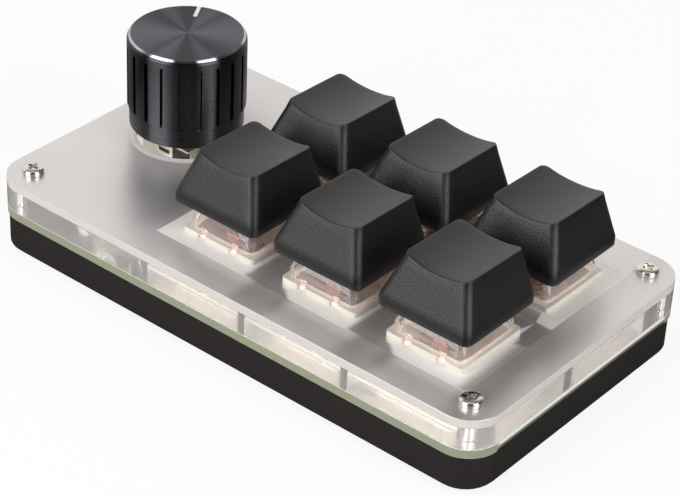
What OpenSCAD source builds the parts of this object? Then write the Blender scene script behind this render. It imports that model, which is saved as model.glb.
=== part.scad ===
// Small desk keypad: six mechanical keys and one push-and-turn knob on an acrylic
// sandwich over a black tray. Millimetres, +Z up, feet on z = 0, middle of the case
// at x = y = 0, long side along X, knob at -X and the cable socket in the +Y wall.

/* [Case plan] */
// Length of the acrylic, the board and the case
case_x = 105; // [100:0.5:125]
// Width of the acrylic, the board and the case
case_y = 58; // [56:0.5:72]
// Radius of the upright corners
corner_r = 6; // [4:0.5:9]

/* [Tray] */
// Height of the black tray
tray_h = 6.8; // [6.4:0.1:12]
// How far the tray sits in from the acrylic
tray_inset = 0.25; // [0.1:0.05:1]
// Thickness of the tray wall
tray_wall = 2.2; // [1.6:0.1:3]
// Thickness of the tray floor
tray_floor = 1.6; // [1.2:0.1:2]
// Bevel round the foot of the tray
tray_bevel = 0.7; // [0.3:0.1:1]
// Diameter of the posts that hold the inserts
post_d = 6.4; // [5.4:0.1:7]

/* [Stack] */
// Thickness of the circuit board
board_t = 1.6; // [1.2:0.1:2]
// Thickness of the clear acrylic frame on the board
spacer_t = 4.2; // [4:0.1:5.5]
// Thickness of the frosted acrylic plate that the switches clip into
plate_t = 1.5; // [1.4:0.1:1.7]
// Side of the square window that the frame leaves round each switch
window = 20.4; // [17:0.1:20.8]
// Depth of the score along the snapped ends of the board
score = 0.25; // [0.1:0.05:0.4]

/* [Feet] */
// Diameter of each rubber foot
foot_d = 8; // [5:0.5:9]
// Height of the feet below the tray
foot_h = 0.8; // [0.5:0.1:2]
// Depth of the pocket that each foot sits in
foot_pocket = 0.4; // [0.2:0.1:0.6]
// Distance of each foot's centre from the case sides
foot_inset = 12; // [9:0.5:14]

/* [Case screws] */
// Distance of each screw from the case sides
screw_inset = 5; // [4.6:0.1:6]
// Diameter of the screw thread
screw_d = 2; // [1.6:0.1:2.2]
// Length of the screw under its head
screw_len = 11.5; // [9.5:0.1:12]
// Diameter of the screw head
head_d = 3.8; // [3.2:0.1:4.4]
// Height of the screw head
head_h = 1.2; // [0.8:0.1:1.6]
// Outer diameter of the brass inserts
insert_d = 3.2; // [3:0.1:3.6]
// Length of the brass inserts
insert_len = 4; // [2.5:0.1:4.5]

/* [Keys] */
// Distance from key to key along X
pitch_x = 21.7; // [21.3:0.1:23]
// Distance from key to key along Y
pitch_y = 22.4; // [21.3:0.1:24]
// Distance from the +X end to the middle of the last column
keys_inset = 17.8; // [14:0.1:20]
// Middle of the key block along Y
keys_y = -0.6; // [-2:0.1:2]

/* [Switches] */
// Side of the square flange that rests on the plate
flange = 15.4; // [15:0.1:16]
// Thickness of the flange
flange_t = 1; // [0.8:0.1:1.2]
// Side of the square hole in the plate
switch_hole = 14; // [13.8:0.1:14.2]
// Depth of the switch below the top of the plate
switch_depth = 5; // [4.8:0.1:5.4]
// Length of the pegs and pins below the switch
peg_len = 3.3; // [2.6:0.1:3.6]
// Height of the clear upper housing
cover_h = 5.6; // [5.2:0.1:6]
// Key travel
travel = 4; // [2:0.1:4]
// Wire diameter of the key spring
wire_d = 0.34; // [0.25:0.01:0.4]
// Turns of the key spring
spring_turns = 8; // [6:1:10]

/* [Keycaps] */
// Side of the keycap at its base
cap_base = 18.1; // [17.6:0.1:18.6]
// Width of the keycap top along X
cap_top_x = 12.7; // [11.5:0.1:13.5]
// Depth of the keycap top along Y
cap_top_y = 14.7; // [12.5:0.1:15]
// How far the top is set back along Y
cap_set_back = 1.1; // [0:0.1:1.3]
// Height of the keycap at its front edge
cap_h = 9.6; // [8.6:0.1:11]
// Fall of the top from front to back
cap_fall = 0.4; // [0:0.1:1.2]
// Height of the keycap base above the plate
cap_rise = 6.2; // [5.9:0.1:6.6]
// Height of the upright skirt round the base
cap_skirt = 1.6; // [0.8:0.1:2.2]
// Thickness of the keycap wall
cap_wall = 1.2; // [1:0.1:1.4]
// Corner radius of the keycap
cap_r = 1.4; // [1:0.1:2]
// Radius of the finger scoop
scoop_r = 21; // [18:0.5:40]
// How far the scoop bites below the top edges at its two sides
scoop_bite = 0.08; // [0.04:0.01:0.3]

/* [Encoder] */
// Distance from the -X end to the middle of the knob
dial_inset = 14.9; // [12:0.1:16]
// Middle of the knob along Y
dial_y = 4; // [-8:0.1:8]
// Diameter of the round hole for the encoder
dial_hole_d = 18; // [17:0.1:20]
// Side of the encoder body
enc_side = 11.7; // [11:0.1:11.8]
// Height of the encoder body above the board
enc_h = 6.5; // [6.2:0.1:7.2]
// Outer diameter of the encoder bushing
bush_d = 7; // [6.9:0.1:8]
// Length of the bushing above the encoder body
bush_len = 5; // [4.6:0.1:5.4]
// Diameter of the shaft
shaft_d = 6; // [5.8:0.05:6.1]
// Length of the shaft above the encoder body
shaft_len = 15; // [14:0.1:16]
// Height of the flat left across the shaft
shaft_flat = 4.5; // [4.2:0.1:4.8]
// Travel of the push switch
push_travel = 0.5; // [0.3:0.1:0.5]

/* [Knob] */
// Diameter of the grooved part of the knob
knob_d = 21; // [19.5:0.1:22]
// Height of the knob
knob_h = 17.5; // [17:0.1:19]
// Gap between the plate and the knob
knob_gap = 2.6; // [1.8:0.1:2.8]
// Diameter of the smooth band at the foot of the knob
knob_foot_d = 20.3; // [19:0.1:21]
// Height of the smooth band
knob_foot_h = 4; // [3:0.1:5]
// Diameter of the flat top of the knob
knob_top_d = 19.7; // [18:0.1:20]
// Number of grooves round the knob
groove_count = 20; // [16:1:24]
// Width of one groove
groove_w = 0.8; // [0.5:0.1:1.2]
// Depth of one groove
groove_depth = 0.55; // [0.3:0.05:0.8]
// Distance from the knob top to the top of the grooves
groove_top = 1.9; // [1.5:0.1:3]
// How far the grooves run down into the smooth band
groove_run = 0.3; // [0.1:0.05:0.8]
// Direction that the knob's mark points in
knob_angle = 120.5; // [0:0.5:360]
// Turn from the mark to the nearest groove
groove_phase = 6.5; // [0:0.5:18]

/* [Cable socket] */
// Middle of the socket along X
usb_x = -16; // [-19:0.5:-9]
// Width of the socket shell
usb_w = 8.94; // [8.7:0.02:9.1]
// Height of the socket shell
usb_h = 3.2; // [3:0.02:3.3]
// Depth of the socket shell
usb_len = 7.4; // [6.5:0.1:8.5]
// Thickness of the socket shell
usb_wall = 0.3; // [0.2:0.05:0.35]

/* [Fits] */
// Play between pieces that are pushed together
snug = 0.03; // [0.02:0.01:0.05]
// Radial play of a turning shaft
turn_play = 0.05; // [0.03:0.01:0.08]
// Play of a sliding or loose piece
slide_play = 0.15; // [0.1:0.01:0.2]
// Room between a moving and a fixed piece that don't guide each other
clear_play = 0.4; // [0.3:0.05:0.45]

/* [Hidden] */
$fn = 48;
KEY_COUNT = 6;
eps = 0.01;
hull_fn = 32;

// Middles of the knob and of the key block
dial_x = dial_inset - case_x / 2;
keys_x = case_x / 2 - keys_inset - pitch_x;

// Levels of the stack, from the table up
tray_z = foot_h;
board_z = tray_z + tray_h;
spacer_z = board_z + board_t;
plate_z = spacer_z + spacer_t;
deck_z = plate_z + plate_t;

// Screws and inserts
screw_x = case_x / 2 - screw_inset;
screw_y = case_y / 2 - screw_inset;
screw_hole_d = screw_d + 2 * slide_play;
insert_hole_depth = tray_h - tray_floor;
foot_x = case_x / 2 - foot_inset;
foot_y = case_y / 2 - foot_inset;

// Switch levels, counted from the top of the plate
base_floor_t = 1.4;
base_floor_z = -switch_depth + base_floor_t;
base_wall = 1;
base_side = switch_hole - 2 * snug;
cover_side = flange - 1.2;
cover_top_side = 11;
cover_wall = 0.9;
cover_shoulder = 1.6;
cover_top_z = flange_t + cover_h;
slider_x = 7.1;
slider_y = 5.5;
slider_top_z = cover_top_z + 0.4;
slider_bottom_z = base_floor_z + travel + 1.15;
cross_h = 3.6;
cross_long = 4;
cross_thick = 1.25;
pole_d = 2.4;
pole_len = 5.1;
pole_bottom_z = slider_bottom_z - pole_len;
pole_end_gap = 0.25;
guide_d = pole_d + 2 * slide_play;
collar_d = guide_d + 0.8;
collar_h = 1.1;
spring_r = collar_d / 2 + slide_play + wire_d / 2;
spring_bore_d = 2 * (spring_r + wire_d / 2 + slide_play);
spring_roof_z = slider_top_z - 1.2;
socket_d = 5.4;
centre_peg_d = 3.9;
side_peg_d = 1.65;
side_peg_x = 5.08;
pin_spots = [[3.81, -2.54], [-2.54, -5.08]];
pin_w = 1;
pin_t = 0.3;
foot_t = 0.24;
leaf_t = 0.2;
pin_hole_d = 1.5;
clip_x = 3.4;
clip_w = 1.5;
clip_depth = 0.8;

// Encoder levels, counted from the top of the plate
enc_bottom_z = -plate_t - spacer_t;
enc_top_z = enc_bottom_z + enc_h;
frame_t = 0.4;
enc_floor_t = 1.3;
rotor_d = 8.8;
rotor_t = 2.2;
rotor_ledge = 1.3;
rotor_z = enc_bottom_z + enc_floor_t + 1.2;
click_count = 20;
click_d = 0.4;
drive_d = 4;
drive_flat = 3;
dome_d = 4.4;
dome_h = 0.6;
dome_t = 0.12;
tab_w = 2.2;
enc_pin_d = 0.8;
enc_pin_step = 2.5;

// Knob levels, counted from the foot of the knob
knob_recess_d = 14.6;
knob_recess_h = enc_top_z + bush_len - knob_gap + push_travel + clear_play;
knob_bore_top = enc_top_z + shaft_len - knob_gap + slide_play;
knob_shoulder = 1.2;
knob_bevel = 0.35;
mark_w = 0.7;
mark_depth = 0.5;
mark_len = 4.1;
grub_d = 3;
grub_len = 4;
grub_z = knob_recess_h + grub_d / 2 + 0.8;

// Underside of the board
chip_x = 9.9;
chip_y = 3.9;
chip_h = 1.5;
chip_spot = [-26, -14];
usb_lip = 0.2;
usb_y = case_y / 2 - tray_inset - usb_lip - usb_len;

// Where each key stands, 1 to 3 in front from -X, then 4 to 6 behind
function key_spot(n) = [
    keys_x + ((n - 1) % 3 - 1) * pitch_x,
    keys_y + (floor((n - 1) / 3) - 0.5) * pitch_y
];

// ---------------------------------------------------------------- helpers

// Rectangle with round corners, with exact arcs
module round_rect(x, y, r) {
    square([x - 2 * r, y], center = true);
    square([x, y - 2 * r], center = true);
    for (sx = [-1, 1], sy = [-1, 1])
        translate([sx * (x / 2 - r), sy * (y / 2 - r)]) circle(r);
}

// Upright slab with round corners, its foot at z
module slab(x, y, r, z, h) {
    translate([0, 0, z]) linear_extrude(h) round_rect(x, y, r);
}

// Upright block centred in plan, its foot at z
module block(x, y, z, h) {
    translate([-x / 2, -y / 2, z]) cube([x, y, h]);
}

// Upright rod, its foot at z
module rod(d, z, h) {
    translate([0, 0, z]) cylinder(d = d, h = h);
}

module at_case_screws() {
    for (sx = [-1, 1], sy = [-1, 1])
        translate([sx * screw_x, sy * screw_y, 0]) children();
}

module at_feet() {
    for (sx = [-1, 1], sy = [-1, 1])
        translate([sx * foot_x, sy * foot_y, 0]) children();
}

module at_key(n) {
    translate([key_spot(n)[0], key_spot(n)[1], deck_z]) children();
}

module at_keys() {
    for (n = [1:KEY_COUNT]) at_key(n) children();
}

module at_dial() {
    translate([dial_x, dial_y, deck_z]) children();
}

// Clear way for the screws through one layer
module screw_holes(z, h) {
    at_case_screws() rod(screw_hole_d, z - eps, h + 2 * eps);
}

// ---------------------------------------------------------------- case

module bottom_tray() {
    tray_x = case_x - 2 * tray_inset;
    tray_y = case_y - 2 * tray_inset;
    tray_r = corner_r - tray_inset;
    color([0.09, 0.09, 0.10])
    difference() {
        union() {
            difference() {
                hull() {
                    slab(tray_x - 2 * tray_bevel, tray_y - 2 * tray_bevel,
                         tray_r - tray_bevel, tray_z, eps, $fn = hull_fn);
                    slab(tray_x, tray_y, tray_r, tray_z + tray_bevel,
                         tray_h - tray_bevel, $fn = hull_fn);
                }
                slab(tray_x - 2 * tray_wall, tray_y - 2 * tray_wall,
                     tray_r - tray_wall, tray_z + tray_floor, tray_h);
            }
            at_case_screws() rod(post_d, tray_z + tray_floor - eps,
                                 tray_h - tray_floor + eps);
        }
        at_case_screws() rod(insert_d + 2 * snug, board_z - insert_hole_depth,
                             insert_hole_depth + 1);
        at_feet() rod(foot_d + 2 * slide_play, tray_z - 1, foot_pocket + 1);
        translate([usb_x, case_y / 2 + tray_wall, board_z - usb_h / 2])
            rotate([90, 0, 0]) linear_extrude(4 * tray_wall) {
                usb_outline(clear_play);
                translate([-usb_w / 2 - clear_play, 0])
                    square([usb_w + 2 * clear_play, usb_h]);
            }
    }
}

module rubber_feet() {
    color([0.13, 0.13, 0.13])
    at_feet() rod(foot_d, 0, foot_h + foot_pocket);
}

module brass_inserts() {
    color([0.78, 0.60, 0.30])
    at_case_screws() translate([0, 0, board_z - insert_len])
        difference() {
            cylinder(d = insert_d, h = insert_len);
            translate([0, 0, -1]) cylinder(d = screw_d + 2 * snug, h = insert_len + 2);
        }
}

// Pan head with a cross recess, its seat at z = 0
module pan_head() {
    crown_r = head_d * 0.9;
    difference() {
        intersection() {
            cylinder(d = head_d, h = head_h);
            translate([0, 0, head_h - crown_r]) sphere(crown_r, $fn = 64);
        }
        for (a = [45, 135]) rotate(a)
            block(head_d * 0.56, head_d * 0.15, head_h * 0.4, head_h);
    }
}

module case_screws() {
    color([0.80, 0.79, 0.77])
    at_case_screws() {
        translate([0, 0, deck_z]) pan_head();
        rod(screw_d, deck_z - screw_len, screw_len);
    }
}

module circuit_board() {
    straight = case_y - 2 * corner_r;
    color([0.62, 0.68, 0.50])
    difference() {
        slab(case_x, case_y, corner_r, board_z, board_t);
        screw_holes(board_z, board_t);
        for (side = [-1, 1], z = [board_z, spacer_z])
            translate([side * case_x / 2, straight / 2, z]) rotate([90, 0, 0])
                linear_extrude(straight)
                    polygon([[-score, 0], [0, -2 * score], [1, -2 * score],
                             [1, 2 * score], [0, 2 * score]]);
        at_keys() {
            rod(centre_peg_d + 2 * slide_play, -deck_z, deck_z);
            for (sx = [-1, 1]) translate([sx * side_peg_x, 0, 0])
                rod(side_peg_d + 2 * slide_play, -deck_z, deck_z);
            for (p = pin_spots) translate(p) rod(pin_hole_d, -deck_z, deck_z);
        }
        at_dial() {
            for (p = enc_pin_spots()) translate(p)
                rod(enc_pin_d + 2 * slide_play, -deck_z, deck_z);
            for (sx = [-1, 1]) translate([sx * (enc_side / 2 - frame_t / 2), 0, 0])
                block(frame_t + 2 * slide_play, tab_w + 2 * slide_play, -deck_z, deck_z);
        }
    }
}

module spacer_frame() {
    color([0.90, 0.92, 0.92, 0.35])
    difference() {
        slab(case_x, case_y, corner_r, spacer_z, spacer_t);
        screw_holes(spacer_z, spacer_t);
        at_keys() block(window, window, -deck_z, deck_z);
        at_dial() rod(dial_hole_d, -deck_z, deck_z);
    }
}

module top_plate() {
    color([0.72, 0.72, 0.72, 0.6])
    difference() {
        slab(case_x, case_y, corner_r, plate_z, plate_t);
        screw_holes(plate_z, plate_t);
        at_keys() block(switch_hole, switch_hole, -2 * plate_t, 3 * plate_t);
        at_dial() rod(dial_hole_d, -2 * plate_t, 3 * plate_t);
    }
}

// ---------------------------------------------------------------- cable socket

// Outline of the socket, its wide sides along X
module usb_outline(grow) {
    round_rect(usb_w + 2 * grow, usb_h + 2 * grow, usb_h / 2 + grow - 0.3);
}

module usb_shell() {
    color([0.75, 0.75, 0.76])
    translate([usb_x, usb_y + usb_len, board_z - usb_h / 2]) rotate([90, 0, 0])
        difference() {
            linear_extrude(usb_len) usb_outline(0);
            translate([0, 0, -1]) linear_extrude(usb_len + 2) usb_outline(-usb_wall);
        }
}

module usb_tongue() {
    back_t = 1.6;
    color([0.10, 0.10, 0.11])
    translate([usb_x, usb_y, board_z - usb_h / 2]) rotate([-90, 0, 0]) {
        linear_extrude(back_t) usb_outline(-usb_wall - snug);
        translate([0, 0, back_t - eps]) linear_extrude(usb_len - back_t - 1)
            square([usb_w - 2.3, 0.7], center = true);
    }
}

// ---------------------------------------------------------------- under the board

module controller_chip() {
    leads = 8;
    lead_step = 1.27;
    color([0.12, 0.12, 0.13])
    translate([chip_spot[0], chip_spot[1], board_z]) {
        block(chip_x, chip_y, -chip_h, chip_h - 0.1);
        for (k = [1:leads], side = [-1, 1])
            translate([(k - (leads + 1) / 2) * lead_step, side * chip_y / 2, 0])
                block(0.42, 1.9, -chip_h / 2, chip_h / 2);
    }
}

// A row of capacitors, a row of resistors and a regulator beside the chip
module board_parts() {
    capacitor = [2, 1.25, 0.8];
    resistor = [1.6, 0.8, 0.5];
    regulator = [1.5, 2.9, 1.1];
    color([0.72, 0.62, 0.48])
    translate([chip_spot[0], chip_spot[1], board_z]) {
        for (k = [-2:2]) translate([3 * k, chip_y / 2 + 3.4, 0]) small_part(capacitor);
        for (k = [-1:1]) translate([4 * k, -chip_y / 2 - 3, 0]) small_part(resistor);
        translate([chip_x / 2 + 2.6, 0, 0]) small_part(regulator);
    }
}

// Box under the board
module small_part(size) {
    block(size[0], size[1], -size[2], size[2]);
}

// ---------------------------------------------------------------- switches

module switch_base() {
    inner = base_side - 2 * base_wall;
    color([0.93, 0.91, 0.86])
    difference() {
        union() {
            slab(flange, flange, 0.6, 0, flange_t);
            slab(base_side, base_side, 0.4, -switch_depth, switch_depth + eps);
            rod(centre_peg_d, -switch_depth - peg_len, peg_len + eps);
            for (sx = [-1, 1]) translate([sx * side_peg_x, 0, 0])
                rod(side_peg_d, -switch_depth - peg_len, peg_len + eps);
        }
        difference() {
            slab(inner, inner, 0.5, base_floor_z, switch_depth + flange_t);
            rod(collar_d, base_floor_z - 1, collar_h + 1);
        }
        rod(guide_d, pole_bottom_z - travel - pole_end_gap, switch_depth + peg_len);
        for (p = pin_spots) translate(p)
            block(pin_w + 2 * snug, pin_t + 2 * snug, -switch_depth - 1, switch_depth);
        for (sx = [-1, 1], side = [-1, 1])
            translate([sx * clip_x, side * (flange / 2 - clip_depth / 2), 0])
                block(clip_w + 2 * slide_play, clip_depth + 2 * eps, -eps,
                      flange_t + 2 * eps);
    }
}

module switch_cover() {
    opening_x = slider_x + 2 * slide_play + 0.3;
    opening_y = socket_d + 2 * clear_play;
    color([0.93, 0.84, 0.80, 0.4])
    translate([0, 0, flange_t]) {
        difference() {
            hull() {
                slab(cover_side, cover_side, 1.4, 0, cover_shoulder, $fn = hull_fn);
                slab(cover_top_side, cover_top_side, 1.4, cover_h - eps, eps,
                     $fn = hull_fn);
            }
            hull() {
                slab(cover_side - 2 * cover_wall, cover_side - 2 * cover_wall, 0.8, -eps,
                     cover_shoulder, $fn = hull_fn);
                slab(cover_top_side - 2 * cover_wall, cover_top_side - 2 * cover_wall, 0.8,
                     cover_h - cover_wall, eps, $fn = hull_fn);
            }
            block(opening_x, opening_y, cover_h / 2, cover_h);
        }
        for (sx = [-1, 1], side = [-1, 1])
            translate([sx * clip_x, side * (flange / 2 - clip_depth / 2 - 0.12), 0])
                block(clip_w, clip_depth - 0.25, -flange_t * 0.8, flange_t * 0.8 + 0.9);
    }
}

// One contact: a pin through the board, a foot on the switch floor and an upright leaf
module contact(spot, leaf_y, leaf_h) {
    side = sign(spot[0]);
    strip_in = 0.35;
    strip_h = 0.9;
    strip_len = abs(spot[0]) + pin_w / 2 - strip_in;
    leaf_w = 2.6;
    floor_z = base_floor_z + eps;
    translate(spot) block(pin_w, pin_t, -switch_depth - peg_len,
                          peg_len + base_floor_t + foot_t);
    translate([spot[0], (spot[1] + leaf_y) / 2, 0])
        block(pin_w, abs(spot[1] - leaf_y) + pin_t, floor_z, foot_t);
    translate([side * (strip_in + strip_len / 2), leaf_y, 0])
        block(strip_len, leaf_t, floor_z, strip_h);
    translate([side * (strip_in + leaf_w / 2), leaf_y, 0])
        block(leaf_w, leaf_t, floor_z, leaf_h);
}

// The two contacts face each other on the pin side of the stem
module switch_contacts() {
    first_y = -base_side / 2 + base_wall + 0.75;
    color([0.80, 0.52, 0.36]) {
        contact(pin_spots[0], first_y, 5.8);
        contact(pin_spots[1], first_y + 0.55, 4.9);
    }
}

// Points of a round section swept up a helix
function coil_point(a, side, r, wire_r, z0, rise) =
    let (out = r + wire_r * cos(side), up = wire_r * sin(side))
    [out * cos(a), out * sin(a), z0 + rise * a / 360 + up];

module coil(r, wire_r, z0, z1, turns, steps = 10, sides = 6) {
    rings = turns * steps;
    rise = (z1 - z0) / turns;
    points = [for (k = [0:rings], s = [0:sides - 1])
        coil_point(k * 360 / steps, s * 360 / sides, r, wire_r, z0, rise)];
    walls = [for (k = [0:rings - 1], s = [0:sides - 1])
        let (t = (s + 1) % sides)
        [k * sides + s, k * sides + t, (k + 1) * sides + t, (k + 1) * sides + s]];
    ends = [[for (s = [sides - 1:-1:0]) s], [for (s = [0:sides - 1]) rings * sides + s]];
    polyhedron(points, concat(walls, ends));
}

module switch_spring() {
    color([0.72, 0.70, 0.68])
    coil(spring_r, wire_d / 2, base_floor_z + wire_d / 2 + snug,
         spring_roof_z - wire_d / 2 - snug, spring_turns);
}

module switch_stem() {
    color([0.80, 0.35, 0.30])
    union() {
        difference() {
            slab(slider_x, slider_y, 0.3, slider_bottom_z, slider_top_z - slider_bottom_z);
            rod(spring_bore_d, slider_bottom_z - 1, spring_roof_z - slider_bottom_z + 1);
        }
        rod(pole_d, pole_bottom_z, spring_roof_z - pole_bottom_z + eps);
        block(cross_long, cross_thick, slider_top_z - eps, cross_h);
        block(cross_thick, cross_long, slider_top_z - eps, cross_h);
    }
}

// ---------------------------------------------------------------- keycaps

// Middle of the sloping top of a keycap, lowered by a wall
module cap_top_pose(top_wall) {
    translate([0, cap_set_back, cap_h - cap_fall / 2 - top_wall])
        rotate([-atan(cap_fall / cap_top_y), 0, 0]) children();
}

// Hollow or solid form of a keycap, drawn in by a wall on every side
module cap_form(wall, top_wall) {
    side = cap_base - 2 * wall;
    top_x = cap_top_x - 2 * wall;
    top_y = cap_top_y - 2 * wall;
    r = max(cap_r - wall, 0.3);
    hull() {
        slab(side, side, r, 0, cap_skirt, $fn = hull_fn);
        cap_top_pose(top_wall) slab(top_x, top_y, r, -0.6, 0.6, $fn = hull_fn);
    }
}

module scoop() {
    sag = scoop_r - sqrt(scoop_r * scoop_r - cap_top_x * cap_top_x / 4) + scoop_bite;
    cap_top_pose(0) translate([0, cap_base, scoop_r - sag]) rotate([90, 0, 0])
        cylinder(r = scoop_r, h = 2 * cap_base, $fn = 120);
}

module keycap() {
    roof = cap_wall + 1.2;
    socket_z = slider_top_z + snug - cap_rise;
    color([0.10, 0.10, 0.105])
    translate([0, 0, cap_rise])
    difference() {
        union() {
            difference() {
                cap_form(0, 0);
                scoop();
                translate([0, 0, -eps]) cap_form(cap_wall, roof);
            }
            rod(socket_d, socket_z, cap_h - roof - socket_z + 0.3);
        }
        block(cross_long + 2 * snug, cross_thick + 2 * snug, socket_z - 1, cross_h + 1.1);
        block(cross_thick + 2 * snug, cross_long + 2 * snug, socket_z - 1, cross_h + 1.1);
    }
}

// ---------------------------------------------------------------- encoder

// Three signal pins in front and two switch pins behind
function enc_pin_spots() = concat(
    [for (k = [-1:1]) [k * enc_pin_step, -enc_side / 2 + 0.9]],
    [for (k = [-1, 1]) [k * enc_pin_step, enc_side / 2 - 0.9]]
);

module encoder_base() {
    body_h = enc_h - frame_t;
    cup_d = rotor_d + 2 * slide_play;
    inner = enc_side - 2 * frame_t - 2 * snug;
    color([0.13, 0.13, 0.12])
    difference() {
        block(inner, enc_side - 2 * frame_t, enc_bottom_z, body_h);
        rod(cup_d, rotor_z - slide_play, body_h);
        rod(rotor_d - 2 * rotor_ledge, enc_bottom_z + enc_floor_t, body_h);
        for (p = enc_pin_spots()) translate(p)
            rod(enc_pin_d + 2 * snug, enc_bottom_z - 1, 2);
    }
}

// Steel cap over the base: roof, two side flaps with tabs, and a slotted front flap
module encoder_frame() {
    flap_h = 4.6;
    front_w = 7.2;
    color([0.80, 0.80, 0.78])
    difference() {
        union() {
            block(enc_side, enc_side, enc_top_z - frame_t, frame_t);
            for (sx = [-1, 1]) translate([sx * (enc_side - frame_t) / 2, 0, 0]) {
                block(frame_t, enc_side - 1.4, enc_top_z - flap_h, flap_h);
                block(frame_t, tab_w, enc_bottom_z - board_t - 0.3,
                      enc_h - flap_h + board_t + 0.3 + eps);
            }
            translate([(front_w - enc_side) / 2 + 0.7, -(enc_side - frame_t) / 2, 0])
                block(front_w, frame_t, enc_top_z - flap_h * 0.8, flap_h * 0.8);
        }
        rod(bush_d - 1, enc_top_z - 1, 2);
        translate([0, -enc_side / 2, 0]) block(2.6, 2 * frame_t, enc_top_z - 2.3, 0.8);
    }
}

module encoder_bushing() {
    color([0.70, 0.70, 0.70])
    translate([0, 0, enc_top_z]) difference() {
        cylinder(d = bush_d, h = bush_len);
        translate([0, 0, -1]) cylinder(d = shaft_d + 2 * turn_play, h = bush_len + 2);
    }
}

module encoder_pins() {
    color([0.82, 0.80, 0.74])
    for (p = enc_pin_spots()) translate(p)
        rod(enc_pin_d, enc_bottom_z - board_t - 0.4, board_t + 1.3);
}

// Shallow steel dome under the shaft
module encoder_dome() {
    crown_r = (dome_d * dome_d / 4 + dome_h * dome_h) / (2 * dome_h);
    color([0.78, 0.76, 0.72])
    translate([0, 0, enc_bottom_z + enc_floor_t])
        intersection() {
            difference() {
                translate([0, 0, dome_h - crown_r]) sphere(crown_r, $fn = 64);
                translate([0, 0, dome_h - crown_r]) sphere(crown_r - dome_t, $fn = 64);
            }
            cylinder(d = dome_d, h = dome_h + 1);
        }
}

// Outline of the driven end of the shaft: a round with two flats
module drive_outline(grow) {
    intersection() {
        circle(d = drive_d + 2 * grow);
        square([drive_d * 2, drive_flat + 2 * grow], center = true);
    }
}

module encoder_rotor() {
    color([0.85, 0.83, 0.78])
    translate([0, 0, rotor_z]) difference() {
        cylinder(d = rotor_d, h = rotor_t);
        translate([0, 0, -1]) linear_extrude(rotor_t + 2) drive_outline(slide_play);
        for (k = [0:click_count - 1])
            rotate(k * 360 / click_count) translate([click_r(), 0, rotor_t]) click_ridge();
    }
}

// Middle of the ring of notches that makes the clicks
function click_r() = (rotor_d + shaft_d) / 4 + 0.1;

module click_ridge() {
    length = (rotor_d - shaft_d) / 2 - 0.6;
    translate([-length / 2, 0, 0]) rotate([0, 90, 0])
        cylinder(d = click_d, h = length, $fn = 16);
}

// Flat ring under the roof, with two ridges that drop into the rotor's notches
module encoder_click_spring() {
    ring_t = 0.2;
    ridge_z = rotor_z + rotor_t + click_d / 2 + snug;
    roof_z = enc_top_z - frame_t;
    color([0.76, 0.72, 0.62]) {
        difference() {
            rod(rotor_d, roof_z - ring_t, ring_t);
            rod(shaft_d + 2 * clear_play, roof_z - 1, 2);
        }
        for (a = [0, 180]) rotate(a) translate([click_r(), 0, 0]) {
            translate([0, 0, ridge_z]) click_ridge();
            block(0.4, click_d, ridge_z, roof_z - ring_t - ridge_z + eps);
        }
    }
}

module encoder_shaft() {
    drive_z = enc_bottom_z + enc_floor_t + dome_h + snug;
    neck_z = enc_top_z - frame_t - 0.6 - push_travel + clear_play;
    flat_z = knob_gap + knob_recess_h - slide_play;
    color([0.78, 0.78, 0.78])
    union() {
        translate([0, 0, drive_z]) linear_extrude(neck_z - drive_z + eps) drive_outline(0);
        rotate(knob_angle) difference() {
            rod(shaft_d - 2 * turn_play, neck_z, enc_top_z + shaft_len - neck_z);
            translate([shaft_flat - shaft_d / 2, -shaft_d, flat_z])
                cube([shaft_d, 2 * shaft_d, shaft_len]);
        }
    }
}

// ---------------------------------------------------------------- knob

// Half section of the knob, turned about Z
module knob_section() {
    foot_r = knob_foot_d / 2;
    body_r = knob_d / 2;
    top_r = knob_top_d / 2;
    recess_r = knob_recess_d / 2;
    polygon([
        [0, knob_recess_h], [recess_r, knob_recess_h], [recess_r, 0],
        [foot_r - knob_bevel, 0], [foot_r, knob_bevel],
        [foot_r, knob_foot_h], [body_r, knob_foot_h],
        [body_r, knob_h - knob_shoulder], [body_r - 0.12, knob_h - knob_shoulder * 0.6],
        [top_r + knob_bevel, knob_h - knob_bevel], [top_r, knob_h], [0, knob_h]
    ]);
}

// One groove: straight sides, round top, its foot just inside the smooth band
module knob_groove() {
    low = knob_foot_h - groove_run;
    high = knob_h - groove_top - groove_w / 2;
    outer = knob_d / 2 + 1;
    floor_r = knob_d / 2 - groove_depth;
    translate([floor_r, -groove_w / 2, low])
        cube([outer - floor_r, groove_w, high - low]);
    translate([floor_r, 0, high]) rotate([0, 90, 0])
        cylinder(d = groove_w, h = outer - floor_r, $fn = 24);
}

module mark_cut(grow) {
    translate([knob_top_d / 2 + knob_bevel - mark_len, -mark_w / 2 - grow,
               knob_h - mark_depth - grow])
        cube([mark_len, mark_w + 2 * grow, mark_depth + grow]);
}

module knob_pose() {
    at_dial() translate([0, 0, knob_gap]) rotate(knob_angle) children();
}

module grub_pose() {
    translate([0, 0, grub_z]) rotate([0, 90, 0]) children();
}

module knob() {
    flat_x = shaft_flat - shaft_d / 2 + snug;
    color([0.07, 0.07, 0.08])
    knob_pose() difference() {
        rotate_extrude($fn = 96) knob_section();
        for (k = [0:groove_count - 1]) rotate(groove_phase + k * 360 / groove_count) knob_groove();
        difference() {
            rod(shaft_d, knob_recess_h - 1, knob_bore_top - knob_recess_h + 1);
            translate([flat_x, -shaft_d, knob_recess_h - 2])
                cube([shaft_d, 2 * shaft_d, knob_bore_top]);
        }
        grub_pose() rod(grub_d + 2 * snug, 0, knob_d);
        translate([0, 0, eps]) mark_cut(snug);
    }
}

module knob_mark() {
    color([0.92, 0.92, 0.90])
    knob_pose() intersection() {
        mark_cut(0);
        rotate_extrude($fn = 96) knob_section();
    }
}

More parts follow.
